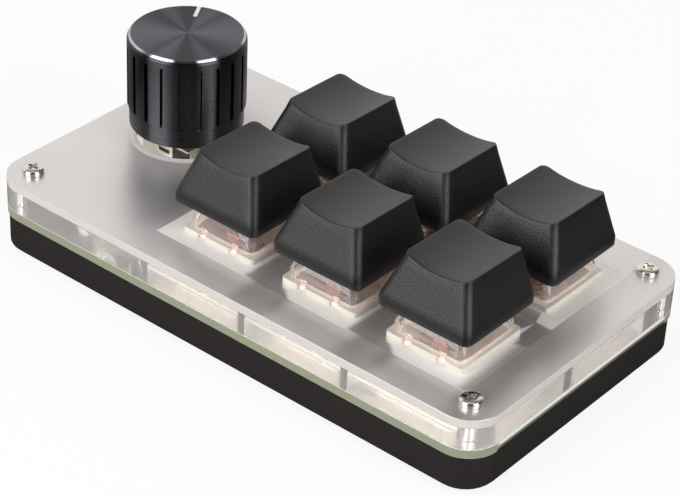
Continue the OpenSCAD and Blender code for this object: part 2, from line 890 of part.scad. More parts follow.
module knob_grub_screw() {
    color([0.25, 0.25, 0.26])
    knob_pose() grub_pose() difference() {
        rod(grub_d, shaft_flat - shaft_d / 2 + snug, grub_len);
        rod(1.5, shaft_flat - shaft_d / 2 + grub_len - 1.5, 3, $fn = 6);
    }
}

// ---------------------------------------------------------------- the model

bottom_tray();
rubber_feet();
brass_inserts();
case_screws();
circuit_board();
spacer_frame();
top_plate();
usb_shell();
usb_tongue();
controller_chip();
board_parts();
for (n = [1:KEY_COUNT]) {
    at_key(n) switch_base();
    at_key(n) switch_cover();
    at_key(n) switch_contacts();
    at_key(n) switch_spring();
    at_key(n) switch_stem();
    at_key(n) keycap();
}
at_dial() encoder_base();
at_dial() encoder_frame();
at_dial() encoder_bushing();
at_dial() encoder_pins();
at_dial() encoder_dome();
at_dial() encoder_click_spring();
at_dial() encoder_rotor();
at_dial() encoder_shaft();
knob();
knob_mark();
knob_grub_screw();
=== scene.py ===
"""Looks of a small desk keypad: six keys and one knob on an acrylic sandwich.

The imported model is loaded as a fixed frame. Pieces whose edges, threads, grooves or
coils are finer than the frame's solids stand in for their nodes, and every other node
keeps its shape and gets its finish. Metres, +Z up, feet on z = 0, knob at -X.
"""

import logging
import math
from dataclasses import dataclass, field
from enum import Enum
from typing import Any, Iterable, Sequence

import bmesh
import bpy
from mathutils import Matrix, Vector


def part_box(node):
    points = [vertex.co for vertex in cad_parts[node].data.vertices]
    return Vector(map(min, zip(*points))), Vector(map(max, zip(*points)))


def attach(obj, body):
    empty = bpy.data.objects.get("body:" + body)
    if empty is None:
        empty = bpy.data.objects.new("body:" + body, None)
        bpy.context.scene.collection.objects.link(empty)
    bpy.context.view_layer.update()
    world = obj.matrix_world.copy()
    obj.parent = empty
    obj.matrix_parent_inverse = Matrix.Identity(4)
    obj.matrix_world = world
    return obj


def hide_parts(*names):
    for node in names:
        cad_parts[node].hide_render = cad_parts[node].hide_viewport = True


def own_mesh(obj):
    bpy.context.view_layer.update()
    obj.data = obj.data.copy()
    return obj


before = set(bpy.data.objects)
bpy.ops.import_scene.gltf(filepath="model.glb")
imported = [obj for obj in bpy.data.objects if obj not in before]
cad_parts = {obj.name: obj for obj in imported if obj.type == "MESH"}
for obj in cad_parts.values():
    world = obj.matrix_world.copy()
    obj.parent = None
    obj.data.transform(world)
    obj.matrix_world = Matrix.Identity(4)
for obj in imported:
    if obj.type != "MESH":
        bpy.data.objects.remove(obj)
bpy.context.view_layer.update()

log = logging.getLogger("keypad")

MM = 0.001
KEY_NUMBERS = range(1, 7)
SMOOTH_ANGLE = math.radians(32)
BROKEN_EDGE_ANGLE = math.radians(14)
SHEET_ANGLE = math.radians(9)
SHARP_EDGE_ANGLE = math.radians(35)
SCREW_THREAD_ANGLE = math.radians(60)
BUSHING_THREAD_ANGLE = math.radians(50)
FLAT_ANGLE = math.radians(0.6)
MERGE_GAP = 2e-7
NODE_MERGE_GAP = 2e-6

Flat = tuple[float, float]
Colour = tuple[float, float, float]
Loop = list[Vector]
Piece = bpy.types.Object
Mesh = bpy.types.Mesh


class Body(str, Enum):
    """Bodies of the frame that pieces ride on, beside the six keys."""

    CASE = "case"
    DIAL = "dial"


def linear(*display: float) -> Colour:
    """Scene-linear colour of three display values from 0 to 255."""
    shares = (value / 255 for value in display)
    return tuple(s / 12.92 if s <= 0.04045 else ((s + 0.055) / 1.055) ** 2.4 for s in shares)


# ---- node trees


class Sock:
    """An output socket that takes part in Python arithmetic."""

    def __init__(self, graph: "Graph", socket: bpy.types.NodeSocket) -> None:
        """Wraps a socket of a graph."""
        self.graph = graph
        self.socket = socket

    def math(self, operation: str, *values: Any) -> "Sock":
        """Math node with this socket as its first value."""
        return self.graph.maths(operation, self, *values)

    def __add__(self, other: Any) -> "Sock":
        """Sum."""
        return self.math("ADD", other)

    __radd__ = __add__

    def __mul__(self, other: Any) -> "Sock":
        """Product."""
        return self.math("MULTIPLY", other)

    __rmul__ = __mul__

    def __sub__(self, other: Any) -> "Sock":
        """Difference."""
        return self.math("SUBTRACT", other)

    def __rsub__(self, other: Any) -> "Sock":
        """Difference with this socket taken away."""
        return self.graph.maths("SUBTRACT", other, self)

    def __truediv__(self, other: Any) -> "Sock":
        """Quotient."""
        return self.math("DIVIDE", other)

    def __rtruediv__(self, other: Any) -> "Sock":
        """Quotient with this socket below the line."""
        return self.graph.maths("DIVIDE", other, self)

    def __abs__(self) -> "Sock":
        """Size without its sign."""
        return self.math("ABSOLUTE")

    def rise(self, low: float, high: float) -> "Sock":
        """Smooth step from 0 at low to 1 at high; high may lie below low.

        Args:
            low: Value at which the step starts.
            high: Value at which it ends.

        Returns:
            The step, from 0 to 1.
        """
        if high < low:
            return 1 - self.rise(high, low)
        return self.graph.node(
            "ShaderNodeMapRange",
            {"interpolation_type": "SMOOTHSTEP"},
            {"Value": self, "From Min": low, "From Max": high},
        )


class Graph:
    """A node tree and the one method that adds nodes to it."""

    def __init__(self, tree: bpy.types.NodeTree) -> None:
        """Wraps a node tree."""
        self.tree = tree

    def node(
        self, kind: str, settings: dict[str, Any] | None = None,
        sockets: dict[Any, Any] | None = None, out: Any = 0,
    ) -> Sock:
        """Adds a node.

        Args:
            kind: Blender's type name of the node.
            settings: Properties of the node, and "stops" for a colour ramp.
            sockets: Values or links of its inputs, by name or number.
            out: Output that the caller goes on with, by name or number.

        Returns:
            That output.
        """
        node = self.tree.nodes.new(kind)
        for key, value in (settings or {}).items():
            if key == "stops":
                ramp = node.color_ramp
                while len(ramp.elements) < len(value):
                    ramp.elements.new(0.5)
                for element, (place, colour) in zip(ramp.elements, value):
                    element.position = place
                    element.color = (*colour, 1)
            else:
                setattr(node, key, value)
        for key, value in (sockets or {}).items():
            if isinstance(value, Sock):
                self.tree.links.new(value.socket, node.inputs[key])
            else:
                node.inputs[key].default_value = value
        return Sock(self, node.outputs[out]) if node.outputs else Sock(self, None)

    def maths(self, operation: str, *values: Any) -> Sock:
        """Result of a Math node on up to three sockets or numbers."""
        return self.node("ShaderNodeMath", {"operation": operation}, dict(enumerate(values)))

    def vectors(self, operation: str, *values: Any, out: Any = 0) -> Sock:
        """Output of a Vector Math node; for SCALE the second value is the factor."""
        sockets = dict(zip((0, "Scale") if operation == "SCALE" else (0, 1), values))
        return self.node("ShaderNodeVectorMath", {"operation": operation}, sockets, out)

    def split(self, vector: Sock) -> tuple[Sock, Sock, Sock]:
        """The three numbers of a vector."""
        parts = self.node("ShaderNodeSeparateXYZ", sockets={0: vector}).socket.node
        return tuple(Sock(self, socket) for socket in parts.outputs)

    def join(self, x: Any, y: Any, z: Any) -> Sock:
        """A vector of three numbers."""
        return self.node("ShaderNodeCombineXYZ", sockets={0: x, 1: y, 2: z})


class Shade(Graph):
    """Material graph on object coordinates."""

    def __init__(self, tree: bpy.types.NodeTree) -> None:
        """Starts with the object coordinates and the surface's direction.

        Args:
            tree: Node tree of a material.
        """
        super().__init__(tree)
        self.place = self.node("ShaderNodeTexCoord", out="Object")
        self.x, self.y, self.z = self.split(self.place)
        self.normal = self.node("ShaderNodeNewGeometry", out="Normal")
        self.tilt = self.split(self.normal)[2]

    def noise(self, size: float, detail: float = 2, stretch: Colour = (1, 1, 1)) -> Sock:
        """Noise from 0 to 1 in blots of one size, finer along an axis with more stretch."""
        place = self.vectors("MULTIPLY", self.place, stretch)
        return self.node("ShaderNodeTexNoise", None, {"Vector": place, "Scale": 1 / size, "Detail": detail})

    def blend(self, share: Any, first: Any, second: Any) -> Sock:
        """Colour between two colours.

        Args:
            share: Share of the second colour, a number or a socket.
            first: First colour, plain or a socket.
            second: Second colour, plain or a socket.

        Returns:
            The mixed colour.
        """
        full = [(*c, 1) if isinstance(c, tuple) else c for c in (first, second)]
        return self.node(
            "ShaderNodeMix",
            {"data_type": "RGBA", "clamp_factor": True},
            {0: share, 6: full[0], 7: full[1]},
            out=2,
        )

    def dim(self, colour: Colour, share: float) -> Colour:
        """A colour made darker, or lighter above 1."""
        return tuple(min(1.0, part * share) for part in colour)

    def bump(self, height: Sock, depth: float) -> Sock:
        """Normal bent by a height from 0 to 1, where 1 is so many metres deep."""
        return self.node("ShaderNodeBump", None, {"Height": height, "Distance": depth})


# ---- finishes


@dataclass(frozen=True)
class Finish:
    """A finish: its slot in the record, its colour and what stays the same all over.

    Attributes:
        slot: Slot, which also names the material.
        colour: Main colour.
        roughness: Main roughness.
        fixed: Constant sockets of the shader.
        lets_light: Share of a lamp's light that passes one face.
    """

    slot: str
    colour: Colour
    roughness: float = 0.5
    fixed: tuple[tuple[str, Any], ...] = ()
    lets_light: Colour | None = None

    def surface(self, shade: Shade) -> dict[str, Any]:
        """Sockets of the shader that change over the surface."""
        return {"Base Color": (*self.colour, 1), "Roughness": self.roughness}

    def material(self) -> bpy.types.Material:
        """The finish's material, made once.

        Returns:
            The material, named after the slot.
        """
        made = bpy.data.materials.get(self.slot + "_finish")
        if made:
            return made
        made = bpy.data.materials.new(self.slot + "_finish")
        made.use_nodes = True
        made.node_tree.nodes.clear()
        shade = Shade(made.node_tree)
        sockets = {**dict(self.fixed), **self.surface(shade)}
        shader = shade.node("ShaderNodeBsdfPrincipled", None, sockets)
        if self.lets_light:
            tint = (*self.lets_light, 1)
            through = shade.node("ShaderNodeBsdfTransparent", None, {"Color": tint})
            shadow = shade.node("ShaderNodeLightPath", out="Is Shadow Ray")
            shader = shade.node("ShaderNodeMixShader", None, {0: shadow, 1: shader, 2: through})
        shade.node("ShaderNodeOutputMaterial", None, {"Surface": shader})
        return made


@dataclass(frozen=True)
class Moulded(Finish):
    """Moulded plastic or rubber: mottled, with a fine spark-eroded grain.

    Attributes:
        grain: Width of the grain.
        grain_depth: Its depth.
        mottle: Share by which the colour wanders.
        blot: Width of its blots.
    """

    grain: float = 0.22 * MM
    grain_depth: float = 0.008 * MM
    mottle: float = 0.12
    blot: float = 6 * MM

    def surface(self, shade: Shade) -> dict[str, Any]:
        """Grain and mottle.

        Args:
            shade: Graph of the material.

        Returns:
            Sockets by name.
        """
        cloud = shade.noise(self.blot, 3)
        grain = shade.noise(self.grain, 3)
        return {
            "Base Color": shade.blend(
                cloud,
                shade.dim(self.colour, 1 - self.mottle),
                shade.dim(self.colour, 1 + self.mottle),
            ),
            "Roughness": self.roughness - 0.05 + 0.1 * grain,
            "Normal": shade.bump(grain, self.grain_depth),
        }


@dataclass(frozen=True)
class KeycapPlastic(Moulded):
    """Keycap plastic: sandy sides, and a top that fingers have rubbed smoother.

    Attributes:
        rubbed: Roughness of the rubbed top.
    """

    blot: float = 4 * MM
    rubbed: float = 0.40

    def surface(self, shade: Shade) -> dict[str, Any]:
        """Grain that fades on the top.

        Args:
            shade: Graph of the material.

        Returns:
            Sockets by name.
        """
        top = shade.tilt.rise(0.80, 0.93)
        cloud = shade.noise(self.blot, 3)
        grain = shade.noise(self.grain, 4)
        return {
            "Base Color": shade.blend(
                0.5 * cloud + 0.5 * grain.rise(0.35, 0.65),
                shade.dim(self.colour, 1 - 2 * self.mottle),
                shade.dim(self.colour, 1 + 2 * self.mottle),
            ),
            "Roughness": (
                self.roughness + 0.10 * grain - (self.roughness - self.rubbed) * top
            ),
            "Coat Weight": 0.15 * grain.rise(0.46, 0.70) * (1 - 0.75 * top),
            "Normal": shade.bump(grain * (1 - 0.6 * top), self.grain_depth),
        }


@dataclass(frozen=True)
class TrayPlastic(Moulded):
    """Black tray plastic with the faint upright lines of its drawn walls.

    Attributes:
        line: Width of the lines.
        line_stretch: How much finer they are along each axis.
    """

    line: float = 0.9 * MM
    line_stretch: Colour = (1, 1, 0.06)

    def surface(self, shade: Shade) -> dict[str, Any]:
        """Upright lines on the walls over the common grain.

        Args:
            shade: Graph of the material.

        Returns:
            Sockets by name.
        """
        common = super().surface(shade)
        lines = shade.noise(self.line, 2, self.line_stretch)
        wall = 1 - abs(shade.tilt)
        return {
            **common,
            "Roughness": self.roughness - 0.07 + 0.16 * lines,
            "Normal": shade.bump(
                shade.noise(self.grain, 3) + 1.5 * wall * lines, self.grain_depth
            ),
        }


@dataclass(frozen=True)
class FrostedPlate(Finish):
    """Frosted acrylic plate over the clear frame's square windows.

    Painted light: in the windows round the switch flanges, in margins beside them and round the
    encoder's hole, the colour is painted light, as if lit from below and by reflections of the
    flanges, and the plate mirrors less there. Dark bands between the windows are painted shadow.

    Attributes:
        middle: Middle of the key block.
        step: Distance from key to key along X and Y.
        window: Half side of a window.
        flange: Half side of a switch flange.
        dial: Middle of the encoder's hole.
        dial_hole: Radius of that hole.
        painted_glow: Colour of the painted light where the plate is painted lit from below.
        edge: Colour of the bright cut edge.
        sheen: How much the satin face mirrors.
        gap_shift: How far the painted shadow bands between the windows lie towards +X.
        shadow_slant: How fast a painted shadow band drifts and widens before the front flanges.
        shadow_edge: Distances from its middle where a painted shadow band starts and is full.
        shadow_loss: Share of the painted light taken away in a painted shadow band.
        side_shadow: Share taken by painted shadow at the border right of the last front key.
        painted_strip: Painted light of the margin before the front windows, far from them and close by.
        strip_shadow: Share of that painted light lost to painted shadow before a band.
        side_painted_strip: Painted light of the margin right of the rear windows.
        painted_spill: Painted light round every window, and how far it reaches.
        painted_halo: Painted light round the encoder's hole, and how far it reaches.
        cloud: Width of the blots in the ground colour.
        frost: Width and depth of the satin grain.
    """

    middle: Flat = (0.0, 0.0)
    step: Flat = (20 * MM, 20 * MM)
    window: float = 10.2 * MM
    flange: float = 7.7 * MM
    dial: Flat = (0.0, 0.0)
    dial_hole: float = 9 * MM
    painted_glow: Colour = (0.8, 0.8, 0.8)
    edge: Colour = (0.8, 0.8, 0.8)
    sheen: float = 0.86
    # Painted shadow bands and painted light round the windows and the encoder's hole.
    gap_shift: float = 1.1 * MM
    shadow_slant: float = 0.55
    shadow_edge: Flat = (4.2 * MM, 2.4 * MM)
    shadow_loss: float = 0.95
    side_shadow: float = 0.68
    painted_strip: Flat = (0.38, 0.68)
    strip_shadow: float = 0.75
    side_painted_strip: float = 0.80
    painted_spill: Flat = (0.16, 4 * MM)
    painted_halo: Flat = (0.45, 12 * MM)
    cloud: float = 18 * MM
    frost: Flat = (0.12 * MM, 0.0012 * MM)

    def painted_strips(self, x: Sock, y: Sock) -> Sock:
        """Painted light in the margins before the front windows and right of the rear ones.

        Args:
            x: Place along X from the key block's middle.
            y: Place along Y.

        Returns:
            How much painted light the margins get, from 0 to 1.
        """
        front = -self.step[1] / 2 - self.window
        side = self.step[0] + self.window
        # Painted shadow: before each band between the windows the painted light is cut back.
        gap = abs(abs(x - 3.8 * MM) - self.step[0] / 2)
        far, close = self.painted_strip
        before = (
            (far + (close - far) * y.rise(front - 3.5 * MM, front - 0.4 * MM))
            * y.rise(front + 0.2 * MM, front - 0.4 * MM)
            * x.rise(2.4 * MM - side, 9.9 * MM - side)
            * x.rise(side + 3.6 * MM, side - 1.9 * MM)
            * (1 - self.strip_shadow * gap.rise(5.8 * MM, 2.5 * MM))
        )
        beside = (
            self.side_painted_strip * y.rise(-5.5 * MM, 9.6 * MM)
            * x.rise(side + 0.2 * MM, side + 0.8 * MM)
            * x.rise(side + 10 * MM, side - 1 * MM)
        )
        return before.math("MAXIMUM", beside)

    def unshadowed(self, x: Sock, y: Sock) -> Sock:
        """Painted light left by the painted shadow between windows and right of the last front key.

        Args:
            x: Place along X from the key block's middle.
            y: Place along Y.

        Returns:
            Share of the painted light that is left, from 0 to 1.
        """
        # Painted shadow: bands between the windows that slant before the front flanges, and shade right of
        # the last front key.
        flange_front = -self.step[1] / 2 - self.flange - 0.6 * MM
        drift = (self.shadow_slant * (flange_front - y)).math("MAXIMUM", 0.0)
        column = abs(abs(x - self.gap_shift - drift) - self.step[0] / 2) - drift
        row = abs(y) + 5 * MM * abs(x).rise(self.step[0] + 6.5 * MM, self.step[0] + 8.5 * MM)
        gap = column.math("MINIMUM", row).rise(*self.shadow_edge)
        border = x.rise(self.step[0] + 7.6 * MM, self.step[0] + 8.0 * MM)
        fade = self.side_shadow * x.rise(self.step[0] + 7.8 * MM, self.step[0] + 10.3 * MM)
        rear = y.rise(-7.8 * MM, -5.5 * MM)
        front = y.rise(0.4 * MM, -0.4 * MM)
        return (1 - self.shadow_loss * gap) * (1 - border * front * fade.math("MAXIMUM", rear))

    def surface(self, shade: Shade) -> dict[str, Any]:
        """Windows, their rims, painted light and painted shadow, on a satin ground.

        Args:
            shade: Graph of the material.

        Returns:
            Sockets by name.
        """
        x, y = shade.x - self.middle[0], shade.y - self.middle[1]
        across = abs(x).math("MINIMUM", abs(abs(x) - self.step[0]))
        reach = across.math("MAXIMUM", abs(abs(y) - self.step[1] / 2))
        inside = reach.rise(self.window + 0.8 * MM, self.window + 0.4 * MM)
        rim = abs(reach - self.window).rise(0.35 * MM, 0.0)
        near = reach.rise(self.window, self.flange - 0.8 * MM)
        # Painted light: the windows are painted lit from below, less under the painted shadow.
        lit = inside * (0.96 + 0.04 * near) * self.unshadowed(x, y)
        painted_spill = self.painted_spill[0] * reach.rise(self.window + self.painted_spill[1], self.window)
        spot = shade.join(shade.x - self.dial[0], shade.y - self.dial[1], 0.0)
        spread = shade.vectors("LENGTH", spot, out="Value") - self.dial_hole
        # Painted light: a bright painted rim at the encoder's hole, and painted light round it.
        lit_hole_rim = spread.rise(1.7 * MM, 1.0 * MM)
        painted_halo = self.painted_halo[0] * spread.rise(self.painted_halo[1], 1.0 * MM) + 0.9 * lit_hole_rim
        upright = abs(shade.tilt).rise(0.75, 0.35)
        cloud = shade.noise(self.cloud, 2)
        ground = shade.blend(cloud, shade.dim(self.colour, 0.95), shade.dim(self.colour, 1.05))
        # The base colour is painted light where lit, and lighter near the flanges as their painted
        # reflection.
        ground = shade.blend(lit.math("MAXIMUM", lit_hole_rim), ground, self.painted_glow)
        ground = shade.blend(0.15 * rim, ground, shade.dim(self.colour, 0.45))
        ground = shade.blend(0.9 * near * lit, ground, self.painted_glow)
        matt = lit.math("MAXIMUM", painted_halo.math("MINIMUM", 1.0))
        matt = matt.math("MAXIMUM", self.painted_strips(x, y).math("MAXIMUM", painted_spill))
        frost = shade.noise(self.frost[0], 2)
        return {
            "Base Color": shade.blend(upright, ground, self.edge),
            "Metallic": self.sheen * shade.tilt.rise(0.5, 0.9) * (1 - matt),
            "Roughness": self.roughness - 0.10 * inside + 0.06 * frost - 0.12 * upright,
            "Normal": shade.bump(frost, self.frost[1]),
        }


@dataclass(frozen=True)
class ClearPlastic(Finish):
    """Clear plastic with faint polishing haze.

    Attributes:
        haze: Roughness added where the haze is thickest.
        haze_size: Width of a haze blot.
        streak: How much finer the haze is along each axis.
    """

    haze: float = 0.06
    haze_size: float = 2 * MM
    streak: Colour = (1, 1, 1)

    def surface(self, shade: Shade) -> dict[str, Any]:
        """Haze in the roughness and the tint.

        Args:
            shade: Graph of the material.

        Returns:
            Sockets by name.
        """
        haze = shade.noise(self.haze_size, 2, self.streak)
        return {
            "Base Color": shade.blend(haze, self.colour, shade.dim(self.colour, 0.93)),
            "Roughness": self.roughness + self.haze * haze,
        }


@dataclass(frozen=True)
class Board(Finish):
    """Circuit board: solder mask above and below, bare glass fibre at its edge.

    Attributes:
        fibre: Colour of the cut edge.
        end_glare: Colour of the scored, snapped ends, painted near white as a highlight.
        half: Half length and half width of the board.
        low: Height of the board's lower face.
        thick: Thickness of the board.
        tracks: Copper tracks under the mask, as a brick pattern.
        weave: Width of the fibre's threads.
        torn_and_shade: Shares of its height between which the snapped end is torn and darkest;
        below them it is painted shade.
        relief: Depth of tracks and weave.
    """

    fibre: Colour = (0.4, 0.5, 0.3)
    # Painted highlight on the snapped ends; painted shade in their lower part.
    end_glare: Colour = (0.80, 0.81, 0.77)
    half: Flat = (50 * MM, 30 * MM)
    low: float = 0.0
    thick: float = 1.6 * MM
    tracks: tuple[tuple[str, float], ...] = (
        ("Scale", 260.0), ("Mortar Size", 0.05), ("Brick Width", 1.7), ("Row Height", 0.4),
    )
    weave: float = 0.5 * MM
    torn_and_shade: Flat = (0.31, 0.53)
    relief: float = 0.02 * MM

    def surface(self, shade: Shade) -> dict[str, Any]:
        """Tracks under the mask, and woven fibre with mask lines at the edge.

        Args:
            shade: Graph of the material.

        Returns:
            Sockets by name.
        """
        upright = abs(shade.tilt).rise(0.9, 0.4)
        sockets = {"Vector": shade.place, **dict(self.tracks)}
        tracks = shade.node("ShaderNodeTexBrick", {"offset": 0.35}, sockets, "Fac")
        face = shade.blend(tracks, self.colour, shade.dim(self.colour, 1.5))
        weave = shade.noise(self.weave, 3, (1, 1, 2.5))
        fibre = shade.blend(weave, shade.dim(self.fibre, 0.86), shade.dim(self.fibre, 1.12))
        height = (shade.z - self.low) / self.thick
        mask_line = abs(height - 0.5).rise(0.44, 0.49)
        fibre = shade.blend(0.75 * mask_line, fibre, self.colour)
        # Snapped ends: painted highlight above, darkest where torn, painted shade below.
        end = abs(shade.x).rise(self.half[0] - 0.35 * MM, self.half[0] - 0.05 * MM)
        flat_end = end * abs(shade.y).rise(self.half[1] - 5.5 * MM, self.half[1] - 6.8 * MM)
        low, high = self.torn_and_shade
        upper, lower = height.rise(high - 0.03, high + 0.03), height.rise(low + 0.03, low - 0.03)
        torn_and_shade = shade.blend(upper, shade.dim(self.end_glare, 0.12), self.end_glare)
        torn_and_shade = shade.blend(lower, torn_and_shade, shade.dim(self.end_glare, 0.35))
        snapped = shade.blend(0.9 * flat_end, fibre, torn_and_shade)
        return {
            "Base Color": shade.blend(upright, face, snapped),
            "Roughness": self.roughness + 0.35 * upright,
            "Normal": shade.bump(weave * upright + tracks, self.relief),
        }


@dataclass(frozen=True)
class Metal(Finish):
    """Plated or bare metal with fine rolling lines and faint stains.

    Attributes:
        grain: How much finer the lines are along each axis.
        stain: Colour of the stains.
        line: Width of the lines.
        line_depth: Their depth.
        stain_size: Width of a stain.
    """

    grain: Colour = (1, 1, 12)
    stain: Colour = (0.5, 0.48, 0.45)
    line: float = 0.6 * MM
    line_depth: float = 0.002 * MM
    stain_size: float = 2.5 * MM

    def surface(self, shade: Shade) -> dict[str, Any]:
        """Lines in the roughness and stains in the colour.

        Args:
            shade: Graph of the material.

        Returns:
            Sockets by name.
        """
        lines = shade.noise(self.line, 3, self.grain)
        stain = shade.noise(self.stain_size, 3).rise(0.5, 0.8)
        return {
            "Base Color": shade.blend(0.3 * stain, self.colour, self.stain),
            "Metallic": 1.0,
            "Roughness": self.roughness - 0.06 + 0.12 * lines + 0.08 * stain,
            "Normal": shade.bump(lines, self.line_depth),
        }


@dataclass(frozen=True)
class TurnedMetal(Finish):
    """Metal turned on a lathe: fine rings round an upright axis.

    Attributes:
        axis: Where the axis stands.
        pitch: Distance from ring to ring.
        bite: How far the rings bend the surface's direction.
        bright: Colour of a freshly cut chamfer, if it has one.
        bright_low: Height where that chamfer starts.
        bright_in: Radius inside which nothing is freshly cut.
        bright_rough: Roughness of the fresh cut.
        side_rough: Roughness added on the sides.
        side_bite: Further bend of the rings on the sides.
        painted_top_sheen: Painted highlight: how much brighter the top's colour is than the sides'.
        blot: Width of the blots in the colour.
    """

    axis: Flat = (0.0, 0.0)
    pitch: float = 0.12 * MM
    bite: float = 0.10
    bright: Colour | None = None
    bright_low: float = 0.0
    bright_in: float = 0.0
    bright_rough: float = 0.16
    side_rough: float = 0.0
    side_bite: float = 0.0
    painted_top_sheen: float = 1.0
    blot: float = 5 * MM

    def surface(self, shade: Shade) -> dict[str, Any]:
        """Rings on the top by radius and on the sides by height.

        Args:
            shade: Graph of the material.

        Returns:
            Sockets by name.
        """
        out_x, out_y = shade.x - self.axis[0], shade.y - self.axis[1]
        radial = shade.join(out_x, out_y, 0.0)
        radius = shade.vectors("LENGTH", radial, out="Value")
        away = shade.vectors("NORMALIZE", radial)
        top = abs(shade.tilt).rise(0.5, 0.8)
        run = radius * top + shade.z * (1 - top)
        ring = shade.node("ShaderNodeTexNoise", {"noise_dimensions": "1D"}, {
            "W": run / self.pitch, "Scale": 1.0, "Detail": 3.0,
        })
        lean = (ring - 0.5) * (self.bite + self.side_bite * (1 - top))
        side_axis = shade.join(0.0, 0.0, 1 - top)
        push = shade.vectors("ADD", shade.vectors("SCALE", away, top), side_axis)
        bent = shade.vectors("ADD", shade.normal, shade.vectors("SCALE", push, lean))
        cloud = shade.noise(self.blot, 3)
        body = shade.blend(cloud, shade.dim(self.colour, 0.85), shade.dim(self.colour, 1.15))
        # Painted highlight: the faced top's colour is raised above the sides'.
        if self.painted_top_sheen != 1.0:
            body = shade.blend(top, body, shade.dim(self.colour, self.painted_top_sheen))
        values = {
            "Base Color": body,
            "Metallic": 1.0,
            "Roughness": self.roughness + 0.08 * ring + self.side_rough * (1 - top),
            "Normal": shade.vectors("NORMALIZE", bent),
        }
        if self.bright:
            fresh = (
                shade.z.rise(self.bright_low - 0.04 * MM, self.bright_low + 0.04 * MM)
                * shade.tilt.rise(0.97, 0.9)
                * radius.rise(self.bright_in - 0.1 * MM, self.bright_in + 0.1 * MM)
            )
            values["Base Color"] = shade.blend(fresh, body, self.bright)
            values["Roughness"] -= (self.roughness - self.bright_rough) * fresh
        return values


@dataclass(frozen=True)
class TwoTone(Moulded):
    """A small part whose ends or legs are bare metal.

    Attributes:
        legs: Colour of the metal.
        middle: Middle of the part along Y.
        half: Distance from it where the metal starts.
    """

    legs: Colour = (0.6, 0.6, 0.6)
    middle: float = 0.0
    half: float = 2 * MM

    def surface(self, shade: Shade) -> dict[str, Any]:
        """Metal beyond the body's half width.

        Args:
            shade: Graph of the material.

        Returns:
            Sockets by name.
        """
        common = super().surface(shade)
        metal = abs(shade.y - self.middle).rise(self.half, self.half + 0.05 * MM)
        return {
            **common,
            "Base Color": shade.blend(metal, common["Base Color"], self.legs),
            "Metallic": metal,
            "Roughness": self.roughness - 0.25 * metal,
        }


# ---- mesh tools


def show(name: str, data: bpy.types.ID) -> Piece:
    """Object in the scene.

    Args:
        name: Name of the object.
        data: Mesh, curve, lamp or camera that it shows.

    Returns:
        The object.
    """
    piece = bpy.data.objects.new(name, data)
    bpy.context.scene.collection.objects.link(piece)
    return piece


def smooth(mesh: Mesh, angle: float = SMOOTH_ANGLE) -> Mesh:
    """Shades a mesh smoothly.

    Args:
        mesh: Mesh that is changed.
        angle: Angle between faces above which their edge stays sharp.

    Returns:
        The same mesh.
    """
    mesh.polygons.foreach_set("use_smooth", [True] * len(mesh.polygons))
    mesh.set_sharp_from_angle(angle=angle)
    return mesh


def final_mesh(piece: Piece) -> Mesh:
    """The mesh of an object after its modifiers or curve settings.

    Args:
        piece: Object, which is left as it is.

    Returns:
        A new mesh.
    """
    bpy.context.view_layer.update()
    shown = piece.evaluated_get(bpy.context.evaluated_depsgraph_get())
    return bpy.data.meshes.new_from_object(shown)


def settle(piece: Piece, angle: float = SMOOTH_ANGLE) -> Piece:
    """Turns an object into a plain smooth mesh object of the same name.

    Args:
        piece: Object with modifiers, or a curve.
        angle: Angle up to which faces are shaded smoothly.

    Returns:
        The plain object.
    """
    name, mesh = piece.name, smooth(final_mesh(piece), angle)
    bpy.data.objects.remove(piece)
    return show(name, mesh)


def round_rect(
    width: float, depth: float, radius: float, arc: int = 6, side: int = 1
) -> list[Flat]:
    """Points of a rectangle with round corners, anticlockwise from +X.

    Args:
        width: Size along X.
        depth: Size along Y.
        radius: Radius of the corners.
        arc: Steps round each corner.
        side: Steps along each side.

    Returns:
        4 * (arc + side) points.
    """
    corners = []
    for turn, (sign_x, sign_y) in enumerate(((1, 1), (-1, 1), (-1, -1), (1, -1))):
        middle_x, middle_y = sign_x * (width / 2 - radius), sign_y * (depth / 2 - radius)
        angles = [(turn + step / arc) * math.pi / 2 for step in range(arc + 1)]
        corners.append([
            (middle_x + radius * math.cos(a), middle_y + radius * math.sin(a)) for a in angles
        ])
    points: list[Flat] = []
    for turn, corner in enumerate(corners):
        (x, y), (next_x, next_y) = corner[-1], corners[(turn + 1) % 4][0]
        points += corner
        points += [
            (x + (next_x - x) * step / side, y + (next_y - y) * step / side)
            for step in range(1, side)
        ]
    return points


def full_turn(steps: int) -> list[float]:
    """Evenly spaced angles of a full turn."""
    return [2 * math.pi * step / steps for step in range(steps)]


def circle(radius: float, steps: int = 48) -> list[Flat]:
    """Points of a circle, anticlockwise from +X."""
    return [(radius * math.cos(a), radius * math.sin(a)) for a in full_turn(steps)]


def quarter(radius: float, steps: int) -> list[Flat]:
    """Quarter of a circle that starts level and ends upright.

    Args:
        radius: Radius of the circle.
        steps: Steps along the quarter.

    Returns:
        How far each point lies outwards, and how far it has risen.
    """
    angles = [step * math.pi / 2 / steps for step in range(steps + 1)]
    return [(radius * math.sin(a), radius * (1 - math.cos(a))) for a in angles]


def thread_ring(
    middle: Flat, radius: float, depth: float, pitch: float, z: float, steps: int
) -> Loop:
    """Level ring of a screw thread.

    Args:
        middle: Where the thread's axis stands.
        radius: Outer radius of the thread.
        depth: Depth of the thread; 0 makes a plain ring.
        pitch: Rise of the thread in one turn.
        z: Height of the ring.
        steps: Points of the ring.

    Returns:
        The ring, anticlockwise.
    """
    ring = []
    for k, (x, y) in enumerate(circle(1.0, steps)):
        phase = (z / pitch - k / steps) % 1
        reach = radius - depth * abs(2 * phase - 1)
        ring.append(Vector((middle[0] + x * reach, middle[1] + y * reach, z)))
    return ring


